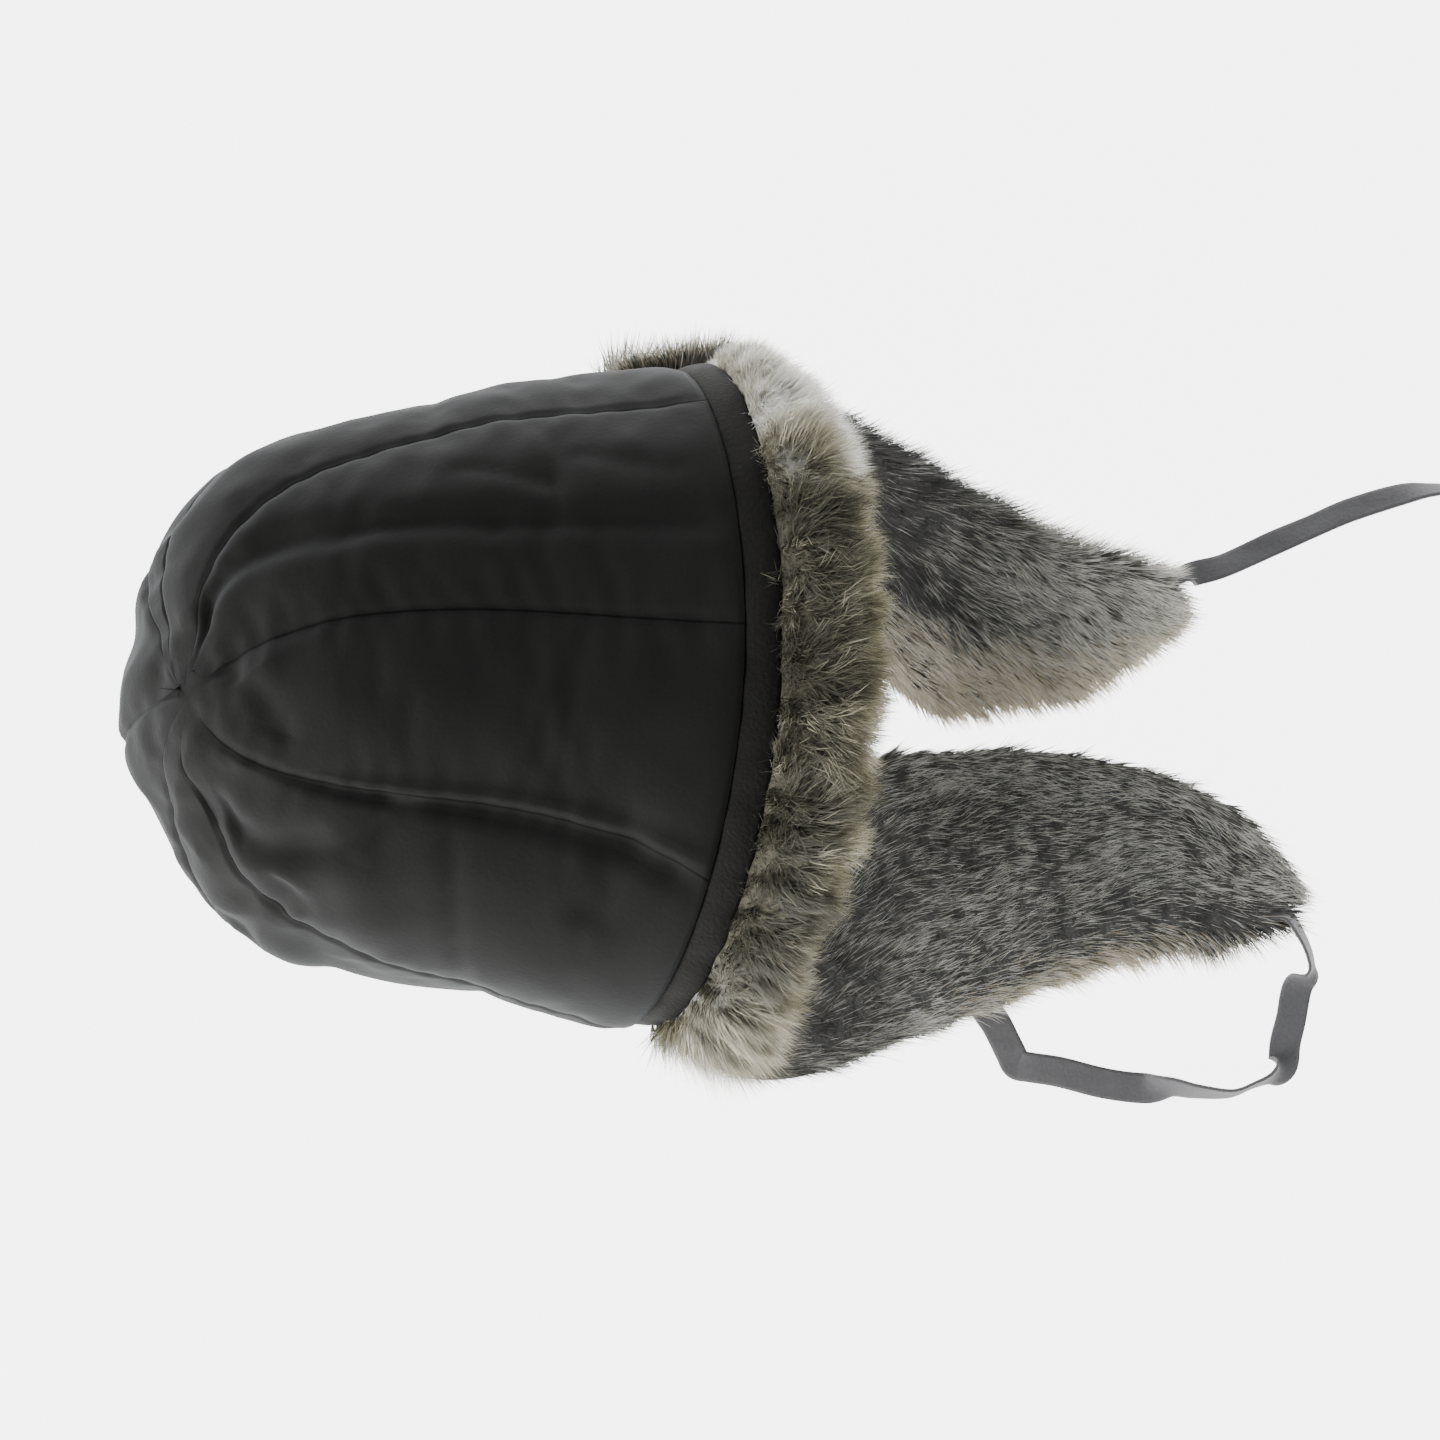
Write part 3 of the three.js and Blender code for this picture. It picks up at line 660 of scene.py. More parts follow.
def finish_piece(piece, material, slot, *nodes):
    """Gives a piece its material and body, and hides the solids that it stands for. The slot is not used.
    """
    piece.data.materials.clear()
    piece.data.materials.append(material)
    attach(piece, "root")
    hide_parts(*nodes)


def waves(points, pitch, seed):
    """Soft noise from -1 to 1 over points in millimetres, with bumps of about one pitch."""
    spin = np.random.default_rng(seed)
    total = np.zeros(points.shape[:-1])
    for _ in range(WAVE_COUNT):
        direction = unit(spin.normal(size=3)) * 2 * np.pi / pitch * spin.uniform(*WAVE_SPREAD)
        total += np.sin(points @ direction + spin.uniform(0, 2 * np.pi))
    return total * 2 / WAVE_COUNT


def store_values(piece, name, values):
    layer = piece.data.attributes.new(name, "FLOAT", "POINT")
    layer.data.foreach_set("value", values.astype(np.float32))


def read_values(piece, name):
    values = np.empty(len(piece.data.vertices), dtype=np.float32)
    piece.data.attributes[name].data.foreach_get("value", values)
    return values.astype(float)


def smooth_curve(stations, knots, *spots):
    """Values at stations from 0 to 1 of a smooth curve through evenly spaced knots, which are
    stacked first. Where each station has knots of its own, the spots pick them."""
    count = len(knots) - 1
    place = np.clip(stations, 0, 1) * count
    start = np.minimum(place.astype(int), count - 1)
    part = (place - start)[..., None]
    padded = np.concatenate([[2 * knots[0] - knots[1]], knots, [2 * knots[-1] - knots[-2]]])
    before, here, beyond, after = [padded[(start + k, *spots)] for k in range(4)]
    return 0.5 * (
        2 * here
        + (beyond - before) * part
        + (2 * before - 5 * here + 4 * beyond - after) * part**2
        + (3 * here - before - 3 * beyond + after) * part**3
    )


# Materials


class Value:
    """A number socket that takes part in sums like a number."""

    def __init__(self, finish, socket):
        self.finish = finish
        self.socket = socket

    def operate(self, operation, *others, reflected=False):
        inputs = [self, *others]
        if reflected:
            inputs = [*others, self]
        return self.finish.math(operation, *inputs)

    def __mul__(self, other):
        return self.operate("MULTIPLY", other)

    def __sub__(self, other):
        return self.operate("SUBTRACT", other)

    def __rsub__(self, other):
        return self.operate("SUBTRACT", other, reflected=True)

    def __truediv__(self, other):
        return self.operate("DIVIDE", other)


class Finish:
    """A material with a principled shader."""

    def __init__(self, name, **constants):
        self.material = bpy.data.materials.new(name)
        self.material.use_nodes = True
        self.tree = self.material.node_tree
        self.shader = self.tree.nodes["Principled BSDF"]
        for key, value in constants.items():
            self.put(key.replace("_", " ").title().replace("Ior", "IOR"), value)

    def link(self, source, target):
        if isinstance(source, Value):
            source = source.socket
        if isinstance(source, bpy.types.NodeSocket):
            self.tree.links.new(source, target)
        else:
            target.default_value = source

    def put(self, name, value):
        self.link(value, self.shader.inputs[name])

    def node(self, kind, inputs=None, **settings):
        made = self.tree.nodes.new(kind)
        for key, value in settings.items():
            setattr(made, key, value)
        for key, value in (inputs or {}).items():
            self.link(value, made.inputs[key])
        return made

    def math(self, operation, *inputs):
        made = self.node("ShaderNodeMath", dict(enumerate(inputs)), operation=operation)
        return Value(self, made.outputs[0])

    def object_place(self):
        return self.node("ShaderNodeTexCoord").outputs["Object"]

    def noise(self, scale, detail):
        inputs = {"Vector": self.object_place(), "Scale": scale, "Detail": detail}
        return Value(self, self.node("ShaderNodeTexNoise", inputs).outputs["Fac"])

    def ramp(self, factor, stops):
        made = self.node("ShaderNodeValToRGB", {"Fac": factor})
        elements = made.color_ramp.elements
        while len(elements) < len(stops):
            elements.new(1.0)
        for element, (place, colour) in zip(elements, stops):
            element.position = place
            element.color = (*colour, 1.0)
        return made.outputs["Color"]

    def mix(self, factor, first, second):
        made = self.node("ShaderNodeMix", data_type="RGBA")
        self.link(factor, made.inputs[0])
        for colour, target in ((first, made.inputs[6]), (second, made.inputs[7])):
            if isinstance(colour, tuple):
                colour = (*colour, 1.0)
            self.link(colour, target)
        return made.outputs[2]

    def bump(self, height, strength, distance):
        inputs = {"Height": height, "Strength": strength, "Distance": distance}
        self.put("Normal", self.node("ShaderNodeBump", inputs).outputs["Normal"])


def nylon_finish(name, shaded_seams):
    """Matt black nylon; where it is sewn, thin lines of painted shade darken the seam grooves, which also
    dip in the bump.
    """
    finish = Finish(name, roughness=0.66, specular_ior_level=0.035)
    colour = finish.mix(finish.noise(scale=28.0, detail=4.0), *NYLON_COLOURS)
    height = finish.noise(scale=700.0, detail=3.0)
    if shaded_seams:
        distance = Value(finish, finish.node("ShaderNodeAttribute", attribute_name="seam").outputs["Fac"])
        # Painted shade: a near-black line down each seam groove, fading out over SEAM_LINE millimetres
        # from the seam
        line = finish.math("MAXIMUM", 1.0 - distance / SEAM_LINE, 0.0)
        colour = finish.mix(line * SEAM_SHADE, colour, SEAM_SHADE_COLOUR)
        height = height - line * SEAM_DIP
    finish.put("Base Color", colour)
    finish.put("Sheen Weight", 0.025)
    finish.put("Sheen Roughness", 0.45)
    finish.put("Sheen Tint", NYLON_SHEEN)
    finish.bump(height, strength=0.25, distance=0.0004)
    return finish.material


def binding_finish():
    finish = Finish("binding_cloth", roughness=0.8, specular_ior_level=0.08)
    threads = finish.noise(scale=900.0, detail=2.0)
    finish.put("Base Color", finish.mix(threads, *BINDING_COLOURS))
    finish.bump(threads, strength=0.5, distance=0.0006)
    return finish.material


def tie_finish():
    finish = Finish("tie_cloth", roughness=0.75, specular_ior_level=0.3)
    threads = finish.noise(scale=800.0, detail=2.0)
    finish.put("Base Color", finish.mix(threads, *TIE_COLOURS))
    finish.bump(threads, strength=0.4, distance=0.0004)
    return finish.material


def hair_finish(name, colours):
    """Hair coloured by its map: u is the hair's tone, and v runs from its root to its tip."""
    finish = Finish(name, roughness=0.6, specular_ior_level=0.25)
    place = finish.node("ShaderNodeUVMap", uv_map="OFBake").outputs["UV"]
    split = finish.node("ShaderNodeSeparateXYZ", {"Vector": place})
    tone = Value(finish, split.outputs["X"])
    along = Value(finish, split.outputs["Y"])
    root, body, tip = [
        finish.ramp(tone, [(row["tone"], row[part]) for row in colours])
        for part in ("root", "body", "tip")
    ]
    lower = finish.math("MINIMUM", along / HAIR_BODY_FROM, 1.0)
    upper = finish.math("MINIMUM", (along - HAIR_TIP_FROM) / HAIR_TIP_RISE, 1.0)
    upper = finish.math("MAXIMUM", upper, 0.0)
    finish.put("Base Color", finish.mix(upper, finish.mix(lower, root, body), tip))
    return finish.material


def undercoat_finish(name, colours):
    finish = Finish(name, roughness=0.9, specular_ior_level=0.2)
    clumps = finish.noise(scale=160.0, detail=5.0)
    pale = Value(finish, finish.node("ShaderNodeAttribute", attribute_name="pale").outputs["Fac"])
    finish.put("Base Color", finish.mix(pale, finish.mix(clumps, *colours), PALE_COAT_COLOUR))
    finish.bump(finish.noise(scale=450.0, detail=4.0), strength=1.0, distance=0.002)
    return finish.material


# Hair


def hair_mesh(name, roots, starts, ends, normals, lengths, widths, tones):
    """Joins hairs into one mesh. Each is a flat strip that bends over and narrows to a point."""
    count = len(roots)
    part = HAIR_STATIONS[None, :, None]
    starts, ends = starts[:, None, :], ends[:, None, :]
    bend = part**2 / 2
    centres = roots[:, None, :] + lengths[:, None, None] * ((part - bend) * starts + bend * ends)
    sides = unit(np.cross(starts[:, 0], normals))
    spread = sides[:, None, :] * (widths[:, None] * HAIR_WIDTHS / 2)[..., None]
    points = np.empty((count, HAIR_VERTICES, 3))
    points[:, 0:4:2] = centres[:, :2] - spread
    points[:, 1:4:2] = centres[:, :2] + spread
    points[:, 4] = centres[:, 2]
    points[..., 2] = np.maximum(points[..., 2], TABLE_CLEARANCE)
    first = np.arange(count) * HAIR_VERTICES
    faces = [tuple(int(start + k) for k in face) for start in first for face in HAIR_FACES]
    mesh = bpy.data.meshes.new(name)
    mesh.from_pydata((points.reshape(-1, 3) * MM).astype(np.float32), [], faces)
    mesh.polygons.foreach_set("use_smooth", np.ones(len(faces), dtype=bool))
    vertex_part = np.repeat(HAIR_STATIONS, 2)[:HAIR_VERTICES]
    vertex_side = np.array([-1, 1, -1, 1, 0]) * HAIR_MAP_HALF_WIDTH
    order = np.concatenate([np.array(face) for face in HAIR_FACES])
    maps = np.empty((count, len(order), 2), dtype=np.float32)
    maps[..., 0] = np.clip(tones[:, None], *HAIR_TONES) + vertex_side[order]
    maps[..., 1] = vertex_part[order]
    mesh.uv_layers.new(name="OFBake").data.foreach_set("uv", maps.ravel())
    piece = bpy.data.objects.new(name, mesh)
    bpy.context.scene.collection.objects.link(piece)
    return piece


def lay_out(count, kind, spin):
    """Places of hairs over a surface's unit square in tufts: their u, v, their tuft's, and
    which way the tuft leans."""
    tufts = int(np.ceil(count / kind["tuft"]))
    own = np.repeat(spin.uniform(0, 1, (tufts, 2)), kind["tuft"], axis=0)[:count]
    leans = np.repeat(spin.normal(0, 1, (tufts, 3)), kind["tuft"], axis=0)[:count]
    places = own + spin.normal(0, 1, (count, 2)) * np.asarray(kind["tuft_size"])
    return np.clip(places, 0.0, 1.0), own, leans


def hair_lengths(kind, swell, spin):
    """Drawn lengths of hairs, which are longer where the swell is more than 1."""
    drawn = spin.normal(kind["length"], kind["spread"], len(swell)) * swell
    return np.clip(drawn, kind["shortest"], kind["longest"])


def hair_widths(kind, count, spin):
    return spin.uniform(*kind["widths"], count)


def surface_frames(surface, places, lift=0.0):
    """Points over a surface with its normal and its two directions there."""
    u, v = places[:, 0], places[:, 1]
    inner_u, inner_v = [np.clip(part, FRAME_STEP, 1 - FRAME_STEP) for part in (u, v)]
    along_u = unit(surface(inner_u + FRAME_STEP, inner_v) - surface(inner_u - FRAME_STEP, inner_v))
    along_v = unit(surface(inner_u, inner_v + FRAME_STEP) - surface(inner_u, inner_v - FRAME_STEP))
    normal = unit(np.cross(along_u, along_v))
    return surface(u, v) + normal * lift, normal, along_u, along_v


def outwards(surface, u, v):
    return surface_frames(surface, np.stack([u, v], axis=-1))[1]


def agouti(light_share, clumping, spin, light=LIGHT_TONE):
    """Tones of mixed hairs: dark ones, and light-tipped ones in the share given."""
    count = len(light_share)
    clumps = int(np.ceil(count / CLUMP_HAIRS))
    draw = np.repeat(spin.uniform(0, 1, clumps), CLUMP_HAIRS)[:count]
    draw = np.where(spin.uniform(0, 1, count) < clumping, draw, spin.uniform(0, 1, count))
    dark_tones, light_tones = [
        np.clip(spin.normal(tone, kind["spread"], count), kind["darkest"], kind["lightest"])
        for tone, kind in ((DARK_HAIR["tone"], DARK_HAIR), (light, LIGHT_HAIR))
    ]
    return np.where(draw < light_share, light_tones, dark_tones)


# Crown


def seam_angles(along):
    """Angle of each seam on a parabola through its three angles, one column a seam, and the
    first seam again a turn later."""
    rim_part = 2 * (along - 0.5) * along
    middle_part = 4 * along * (1 - along)
    top_part = 2 * (along - 0.5) * (along - 1)
    columns = [
        seam["at_rim"] * rim_part + seam["midway"] * middle_part + seam["near_top"] * top_part
        for seam in SEAMS
    ]
    columns.append(columns[0] + FULL_TURN)
    return np.stack(columns, axis=-1)


def fold_depths(along, angle):
    deepest = np.zeros_like(along)
    point = np.stack([along * HEAD_LENGTH, angle * MM_PER_DEGREE], axis=-1)
    scale = np.array([HEAD_LENGTH, MM_PER_DEGREE])
    for fold in FOLDS:
        start = np.array(fold["start"]) * scale
        line = np.array(fold["end"]) * scale - start
        part = np.clip((point - start) @ line / (line @ line), 0, 1)
        distance = np.linalg.norm(point - start - part[..., None] * line, axis=-1)
        deepest = np.maximum(deepest, fold["depth"] * bell(distance, fold["width"]))
    return deepest


def gore_angles(along, turn):
    """Angles round the head for places along the crown and round its eight gores."""
    gore = np.minimum(turn.astype(int), len(SEAMS) - 1)
    across = turn - gore
    angles = seam_angles(along)
    here = np.take_along_axis(angles, gore[..., None], -1)[..., 0]
    beyond = np.take_along_axis(angles, gore[..., None] + 1, -1)[..., 0]
    return here + (beyond - here) * across, across


def gore_puff(along, across):
    fade = np.sqrt(np.sin(np.pi * np.clip(along, 0, 1))) * np.clip(along / TOP_FLATNESS, 0, 1)
    return GORE_PUFF * fade * np.sin(np.pi * across) ** PUFF_POWER


def ridge(along, angle):
    """Puffed edge of one gore over the sunken edge of the next."""
    seam = seam_angles(along)[..., RIDGE_SEAM]
    distance = (angle - seam) * MM_PER_DEGREE
    lift = RIDGE_LIFT * bell(distance + RIDGE_BESIDE, RIDGE_LIFT_WIDTH)
    sink = RIDGE_SINK * bell(distance - RIDGE_BESIDE, RIDGE_SINK_WIDTH)
    return rise(along, RIDGE_FROM, RIDGE_RISE) * (lift - sink)


def crumples(along, angle, points):
    """Crumpled folds round the crown's top and on its left side, and soft dents elsewhere."""
    sharp = 1 - 2 * np.abs(waves(points, *NOISE["crown_sharp"]))
    soft = waves(points, *NOISE["crown_top"])
    top = CRUMPLE_TOP["sharp"] * sharp + CRUMPLE_TOP["soft"] * soft
    top *= bell(along - CRUMPLE_TOP["along"], CRUMPLE_TOP["reach"])
    side = CRUMPLE_SIDE["depth"] * waves(points, *NOISE["crown_side"])
    side *= bell(angle - CRUMPLE_SIDE["angle"], CRUMPLE_SIDE["span"])
    side *= bell(along - CRUMPLE_SIDE["along"], CRUMPLE_SIDE["reach"])
    return top + side + CRUMPLE_ALL * waves(points, *NOISE["crown_all"])


def shaped(points):
    """Moves the head shape's points to the sewn crown's own outline."""
    offset = points - HEAD_CENTRE
    waist = FLARE_PER_MM * WAIST_WIDTH * np.log1p(np.exp(-np.abs(offset[:, 0]) / WAIST_WIDTH))
    offset[:, 1:] *= 1 + waist[:, None]
    side = offset[:, 1] / HEAD_HALF_WIDTH
    right, left = [np.interp(points[:, 0], *zip(*rows)) for rows in (RIGHT_SIDE, LEFT_SIDE)]
    offset[:, 1] += np.where(side > 0, right, -left) * np.clip(np.abs(side), 0, 1) ** 2
    share = rise(points[:, 0], END_FROM, END_FULL - END_FROM)
    offset[:, 0] -= np.interp(points[:, 1], *zip(*END)) * share
    return HEAD_CENTRE + offset


def crown_dome():
    """A dome with a ring of vertices for each step from the crown's top to the rim."""
    segments = len(SEAMS) * STEPS_PER_GORE
    deselect_all()
    bpy.ops.mesh.primitive_uv_sphere_add(segments=segments, ring_count=2 * CROWN_RINGS, radius=1)
    dome = named("crown_shell")
    bpy.ops.object.mode_set(mode="EDIT")
    bpy.ops.mesh.select_all(action="SELECT")
    bpy.ops.mesh.bisect(plane_co=(0, 0, 0), plane_no=(0, 0, 1), clear_inner=True, threshold=0.001)
    bpy.ops.object.mode_set(mode="OBJECT")
    places = vertices_of(dome)
    along = np.arccos(np.clip(places[:, 2], -1, 1)) / (np.pi / 2)
    along = np.minimum(np.round(along * CROWN_RINGS) / CROWN_RINGS, 1)
    turn = np.arctan2(-places[:, 1], places[:, 0]) / (2 * np.pi) * segments
    turn = np.mod(np.round(turn), segments) / STEPS_PER_GORE
    return dome, along, turn


def simulate_cloth(piece, pinned):
    """Puffs the cloth out between its pinned seams, with a little spare cloth to pucker."""
    before = vertices_of(piece) / MM
    group = piece.vertex_groups.new(name="pinned")
    group.add([int(index) for index in np.flatnonzero(pinned)], 1.0, "REPLACE")
    cloth = piece.modifiers.new("cloth", "CLOTH")
    settings = cloth.settings
    settings.vertex_group_mass = "pinned"
    settings.use_pressure = True
    settings.uniform_pressure_force = CLOTH_PRESSURE
    settings.shrink_min = CLOTH_SHRINK
    settings.mass = CLOTH_MASS
    settings.tension_stiffness = CLOTH_STIFFNESS
    settings.compression_stiffness = CLOTH_STIFFNESS
    settings.effector_weights.gravity = 0
    cloth.point_cache.frame_end = CLOTH_FRAMES
    for step in range(1, CLOTH_FRAMES + 1):
        bpy.context.scene.frame_set(step)
    apply_modifiers(piece)
    bpy.context.scene.frame_set(1)
    piece.vertex_groups.clear()
    moved = vertices_of(piece) / MM - before
    reach = np.linalg.norm(moved, axis=1, keepdims=True)
    moved *= np.minimum(1, CLOTH_CAP / np.maximum(reach, TINY))
    place_vertices(piece, before + moved)


def keep_cloth_places(piece, along, turn):
    """Stores where each vertex lies on the cloth, so that later steps can find the seams."""
    round_head = 2 * np.pi * turn / len(SEAMS)
    store_values(piece, "along", along)
    store_values(piece, "east", np.cos(round_head))
    store_values(piece, "north", np.sin(round_head))


def add_relief(piece):
    """Adds folds and crumples, sinks the seams, and ripples the cloth beside their stitches."""
    points = vertices_of(piece) / MM
    normals = np.empty(len(points) * 3)
    piece.data.vertex_normals.foreach_get("vector", normals)
    along, east, north = [read_values(piece, name) for name in ("along", "east", "north")]
    turn = np.mod(np.arctan2(north, east) / (2 * np.pi), 1.0) * len(SEAMS)
    angle, _ = gore_angles(along, turn)
    distance = np.abs(turn - np.round(turn)) * gore_width(along)
    lift = crumples(along, angle, points) + ridge(along, angle) - fold_depths(along, angle)
    lift -= SEAM_DEPTH * bell(distance, SEAM_HALF_WIDTH) * rise(along, SEAM_FROM, SEAM_RISE)
    drift = PUCKER_DRIFT * waves(points, *NOISE["pucker"])
    ripple = np.sin(2 * np.pi * along * CROWN_ARC / PUCKER_PITCH + drift)
    lift += PUCKER_DEPTH * ripple * bell(distance, PUCKER_REACH) * rise(along, 0, PUCKER_RISE)
    lift *= rise(1 - along, 0, RIM_FADE)
    place_vertices(piece, points + normals.reshape(-1, 3) * lift[:, None])
    # Distance to the nearest seam, read by the nylon's painted seam shade; it is pushed out near the
    # crown's top so that the lines fade there
    store_values(piece, "seam", distance + SEAM_LINE * np.clip(2 - along / SEAM_STARTS, 0, 1))


def gore_width(along):
    return GORE_WIDEST * np.sin(np.pi / 2 * np.minimum(along * GORE_WIDENING, 1))


def make_crown(material):
    crown, along, turn = crown_dome()
    angle, across = gore_angles(along, turn)
    place_vertices(crown, shaped(crown_points(along, angle, 0.0, gore_puff(along, across))))
    keep_cloth_places(crown, along, turn)
    at_seam = np.abs(turn - np.round(turn)) < TINY
    simulate_cloth(crown, at_seam | (along > PINNED_RIM) | (along < PINNED_TOP))
    subdivide = crown.modifiers.new("finer", "SUBSURF")
    subdivide.levels = 1
    apply_modifiers(crown)
    add_relief(crown)
    thicken(crown, CROWN_WALL, -1)
    smooth(crown)
    finish_piece(crown, material, "shell_cloth", "crown")


# Rim binding


def make_binding(material):
    deselect_all()
    bpy.ops.mesh.primitive_torus_add(
        major_segments=BINDING_STEPS, minor_segments=BINDING_SIDES,
        major_radius=1, minor_radius=TORUS_THICKNESS,
    )
    binding = named("rim_strip")
    places = vertices_of(binding)
    angle = np.degrees(np.arctan2(places[:, 1], places[:, 0]))
    out = np.hypot(places[:, 0], places[:, 1]) - 1
    section = np.arctan2(places[:, 2], out)
    ahead = -BINDING_WIDTH / 2 + rounded(np.sin(section)) * (BINDING_WIDTH / 2 + BINDING_OVERLAP)
    inset = BINDING_INSET - rounded(np.cos(section)) * BINDING_HALF_DEPTH
    points = rim_points(angle, ahead, inset)
    uneven = BINDING_UNEVENNESS * waves(points, *NOISE["binding"])
    place_vertices(binding, points + unit(points - HEAD_CENTRE) * uneven[:, None])
    smooth(binding)
    finish_piece(binding, material, "binding_cloth", "rim_binding")


def rounded(value):
    """Squares off a round section, keeping its corners soft."""
    return np.sign(value) * np.abs(value) ** BINDING_CORNERS


# Sheets of cloth


def sheet_size(piece, u, v):
    """Width and length over a grid's cloth, and its area, before it is thickened."""
    points = vertices_of(piece)
    spans = [longest_run(points, line, place) for line, place in ((v, u), (u, v))]
    return spans, sum(face.area for face in piece.data.polygons)


def longest_run(points, line, place):
    """Length of the longest of the grid's lines that run across or along it."""
    longest = 0.0
    for value in np.unique(line):
        row = np.flatnonzero(line == value)
        row = row[np.argsort(place[row])]
        longest = max(longest, np.linalg.norm(np.diff(points[row], axis=0), axis=1).sum())
    return float(longest)


# Nape fur


def from_table(rows, key, at, column):
    return np.interp(at, [row[key] for row in rows], [row[column] for row in rows])


def nape_reach(angle):
    """Part of its full reach that the band has: it gets shallower towards both ends."""
    end = np.where(angle > 0, NAPE_LEFT_REACH, NAPE_RIGHT_REACH)
    return end + (1 - end) * np.cos(np.radians(angle))


def angles_of(u):
    return NAPE_ENDS[0] + (NAPE_ENDS[1] - NAPE_ENDS[0]) * u


def nape_surface(u, v):
    """Fur band's skin: u from its right to its left end, v from the outer root over the edge
    to the inner root."""
    angle = angles_of(u)
    fold = 1 - np.abs(2 * v - 1)
    ahead = NAPE_SECTION[-1]["ahead"] * (1 - (1 - fold) ** NAPE_EDGE_POWER)
    outer, inner = [from_table(NAPE_SECTION, "ahead", ahead, side) for side in ("outer", "inner")]
    middle = (outer + inner) / 2
    half = (inner - outer) / 2 * np.sqrt(np.clip(1 - fold**NAPE_ROUNDNESS, 0, 1))
    inset = middle + half * np.sign(v - 0.5)
    reach = nape_reach(angle)
    return rim_points(angle, ahead * reach - NAPE_BEHIND, inset * np.where(inset < 0, reach, 1.0))


def make_nape_undercoat(material):
    coat, u, v = new_grid("nape_undercoat", *NAPE_COAT_GRID)
    points = nape_surface(u, v)
    lift = NAPE_COAT["coarse"] * waves(points, *NOISE["nape_coat_coarse"])
    lift += NAPE_COAT["fine"] * waves(points, *NOISE["nape_coat_fine"]) - NAPE_COAT["sink"]
    lift *= np.sin(np.pi * v)
    place_vertices(coat, points + outwards(nape_surface, u, v) * lift[:, None])
    store_values(coat, "pale", white_ends(points))
    smooth(coat)
    finish_piece(coat, material, "light_fur", "nape_fur")


def nape_direction(kind, normals, at_rim, at_left, at_right, scatter, swirl):
    """Which way the band's hairs point, at their roots or at their tips."""
    up = kind["up"] + kind["up_at_rim"] * at_rim
    forward = kind["forward"] - kind["forward_at_rim"] * at_rim
    direction = normals * up + FORWARD * forward
    direction += at_left * (kind["left_end"] - at_rim * FORWARD * kind["left_back"])
    direction += at_right * kind["right_end"]
    return direction + scatter * kind["scatter"] + swirl * kind["swirl"]


def make_nape_hair(name, ends, seed, material):
    """Dense hair of one half of the band: it stands out of the rim and leans forward."""
    spin = np.random.default_rng(seed)
    count = NAPE_HAIRS
    places, own, leans = lay_out(count, NAPE_HAIR, spin)
    for spots in (places, own):
        spots[:, 0] = ends[0] + (ends[1] - ends[0]) * spots[:, 0]
    roots, normals, _, _ = surface_frames(nape_surface, places, NAPE_ROOT_LIFT)
    centres, _, _, _ = surface_frames(nape_surface, own, NAPE_ROOT_LIFT)
    angle = angles_of(places[:, 0])
    at_rim = bell(places[:, 1], NAPE_RIM_PART)[:, None]
    at_left = rise(angle, *NAPE_LEFT_END)[:, None]
    at_right = rise(-angle, *NAPE_RIGHT_END)[:, None]
    swirl = waves(centres, NAPE_SWIRL_PITCH, seed + 1)[:, None] * NAPE_SWIRL + leans * NAPE_TUFT_LEAN
    scatter = spin.normal(0, NAPE_SCATTER, (count, 3))
    fan = np.sin(np.radians(angle))[:, None] * NAPE_FAN
    gather = (centres - roots) * NAPE_GATHER
    stray = (normals, at_rim, at_left, at_right, scatter, swirl)
    starts = unit(nape_direction(NAPE_AT_ROOT, *stray))
    ends_at = unit(nape_direction(NAPE_AT_TIP, *stray) + fan + gather)
    swell = NAPE_SWELL["mean"] + NAPE_SWELL["share"] * waves(centres, NAPE_SWELL["pitch"], seed + 2)
    lengths = hair_lengths(NAPE_HAIR, swell, spin) * (1 - NAPE_RIM_TRIM * at_rim[:, 0])
    longer = NAPE_LENGTH["mean"] + NAPE_LENGTH["reach"] * nape_reach(angle)
    longer += NAPE_LENGTH["left_end"] * at_left[:, 0]
    longer += NAPE_LENGTH["right_end"] * rise(-angle, *NAPE_RIGHT_TRIM)
    widths = hair_widths(NAPE_HAIR, count, spin)
    tones = nape_tones(centres, own[:, 1], spin)
    hair = hair_mesh(name, roots, starts, ends_at, normals, lengths * longer, widths, tones)
    finish_piece(hair, material, "light_fur", "nape_fur")


def right_part(points):
    """How far out to the wearer's right points lie, as a part of the head's half width."""
    return (points[:, 1] - HEAD_CENTRE[1]) / HEAD_HALF_WIDTH


def white_ends(points):
    """Share of white fur on the band, which grows towards both of its ends."""
    side = right_part(points)
    return rise(side, *WHITE_RIGHT) + PALE_LEFT_SHARE * rise(-side, *PALE_LEFT)


def nape_tones(points, across, spin):
    """Olive and beige fur with dark patches, lighter at its front edge and at both ends."""
    side = right_part(points)
    white = white_ends(points)
    patches = NAPE_TONE["coarse"] * waves(points, *NOISE["nape_coarse"])
    patches += NAPE_TONE["fine"] * waves(points, *NOISE["nape_fine"])
    edge = np.clip(across / NAPE_EDGE_PART, 0, 1) ** 2
    tone = NAPE_TONE["mean"] + NAPE_TONE["edge"] * edge
    tone += patches * (1 - NAPE_TONE["evened"] * white) + NAPE_TONE["white"] * white
    tone -= NAPE_TONE["shade"] * rise(-side, *SHADED_LEFT) * (1 - white)
    tone += NAPE_TONE["left_rim"] * rise(-side, *PALE_LEFT) * (1 - edge)
    return tone + spin.normal(0, NAPE_TONE["spread"], len(points))


# Front flap


